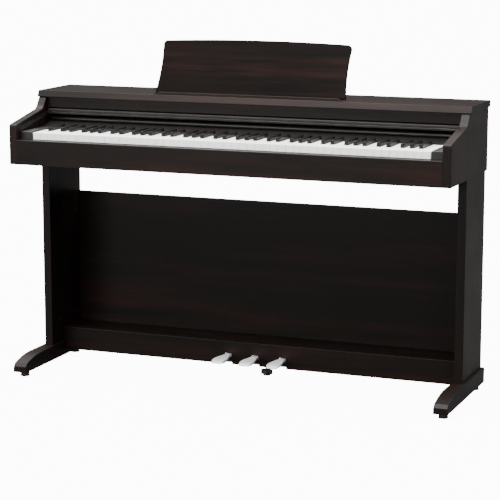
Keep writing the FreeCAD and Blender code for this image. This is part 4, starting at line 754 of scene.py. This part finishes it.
keyFelt = {
    "low": (-0.611, -0.0262, 0.7484), "high": (0.611, -0.0202, 0.7496), "cuts": 120, "edge": 0.0003,
    "dip": 0.0002, "dipsPerMetre": 90,      # soft, slightly uneven top
}


def addKeyFelt():
    strip = boxPiece("keyFelt", keyFelt["low"], keyFelt["high"])
    pickEdges(strip, lambda a, b: abs(a.x - b.x) > 1)
    bpy.ops.mesh.subdivide(number_cuts=keyFelt["cuts"])
    pickFaces(strip, lambda place, facing: facing.z > 0.9
              and math.floor(place.x * keyFelt["dipsPerMetre"]) % 2)
    bpy.ops.transform.translate(value=(0, 0, -keyFelt["dip"]))
    soften(strip, keyFelt["edge"])
    cleanUp()
    hangOn(strip, "darkFelt", "piano")
    print("felt strip laid")


addKeyFelt()

# caps over the joining cams, inside the legs

camCap = {
    "round": 0.0085, "proud": 0.0012, "legFace": 0.6454, "gap": 0.0001, "rim": 0.0012, "edge": 0.0003,
    "groove": (0.0006, -0.0003), "places": ((0.045, 0.135), (0.155, 0.135), (0.045, 0.470), (0.155, 0.470)),
}


def addCamCaps():
    cap = roundPiece("camCap", camCap["round"], camCap["proud"], (0, 0, 0), sides=36, alongX=True)
    for side in (-1, 1):
        pickFaces(cap, lambda place, facing: facing.x * side > 0.9)
        bpy.ops.mesh.inset(thickness=camCap["rim"], depth=0)
        bpy.ops.mesh.inset(thickness=camCap["groove"][0], depth=camCap["groove"][1])
    soften(cap, camCap["edge"])
    cleanUp()
    caps = []
    faceX = camCap["legFace"] - camCap["proud"] / 2 - camCap["gap"]
    for side, sideName in ((-1, "left"), (1, "right")):
        for number, (y, z) in enumerate(camCap["places"], start=1):
            caps.append(copyTo(cap, sideName + "CamCap" + str(number), (side * faceX, y, z)))
    clearSelection()
    cap.select_set(True)
    bpy.ops.object.delete()
    allCaps = joinAll(caps)
    allCaps.name = "camCaps"
    hangOn(allCaps, "fasciaBrown", "piano")
    print("cam caps pressed in")


addCamCaps()

# raised marks beside the volume slider's slot

sliderMark = {
    "low": (0.6442, -0.12245, 0.7498), "high": (0.6474, -0.12155, 0.7504), "pitch": 0.0065, "count": 9,
    "edge": 0.0002,
}


def addSliderMarks():
    mark = boxPiece("sliderMark", sliderMark["low"], sliderMark["high"])
    soften(mark, sliderMark["edge"])
    cleanUp()
    marks = [mark]
    for number in range(1, sliderMark["count"]):
        marks.append(copyTo(mark, "sliderMark" + str(number), (0, number * sliderMark["pitch"], 0)))
    allMarks = joinAll(marks)
    allMarks.name = "sliderMarks"
    hangOn(allMarks, "markPaint", "piano")
    print("slider marks set")


addSliderMarks()

# cloth behind the speaker grilles

speakerCloth = {
    "x": 0.430, "y": 0.126, "round": 0.0470, "low": 0.6537, "thick": 0.0007, "edge": 0.0002,
    "rings": 4, "ringWide": 0.008, "belly": 0.00003,        # swells slightly towards the middle
}


def addSpeakerCloth():
    centre = (-speakerCloth["x"], speakerCloth["y"], speakerCloth["low"] + speakerCloth["thick"] / 2)
    cloth = roundPiece("leftSpeakerCloth", speakerCloth["round"], speakerCloth["thick"], centre, sides=64)
    pickFaces(cloth, lambda place, facing: abs(facing.z) > 0.9)
    for ring in range(speakerCloth["rings"]):
        bpy.ops.mesh.inset(thickness=speakerCloth["ringWide"], depth=speakerCloth["belly"])
    soften(cloth, speakerCloth["edge"], 1)
    cleanUp()
    other = copyTo(cloth, "rightSpeakerCloth", (2 * speakerCloth["x"], 0, 0))
    for piece in (cloth, other):
        hangOn(piece, "speakerCloth", "piano")
    print("speaker cloth stretched")


addSpeakerCloth()

# floor


def floorFinish():
    material, tree, shader = newMaterial("paleFloor", Roughness=0.7, Specular_IOR_Level=0.2)
    place = objectPlace(tree)
    tone = studio["floorTone"]
    lighter = (tone * 1.03, tone * 1.03, tone * 1.02, 1)
    cloud = spread(tree, noise(tree, place, 1.5, 4, 0.5), 0.2, 0.8)
    tree.links.new(blendColour(tree, cloud, (tone, tone, tone, 1), lighter), shader.inputs["Base Color"])
    shader.inputs["Emission Color"].default_value = (1, 1, 1, 1)
    tree.links.new(seenGlow(tree), shader.inputs["Emission Strength"])
    return material


clearSelection()
bpy.ops.mesh.primitive_plane_add(size=120, location=(0, 0, 0))
floor = bpy.context.object
floor.name = "studioFloor"
floor.data.materials.append(floorFinish())
print("floor laid under the piano")
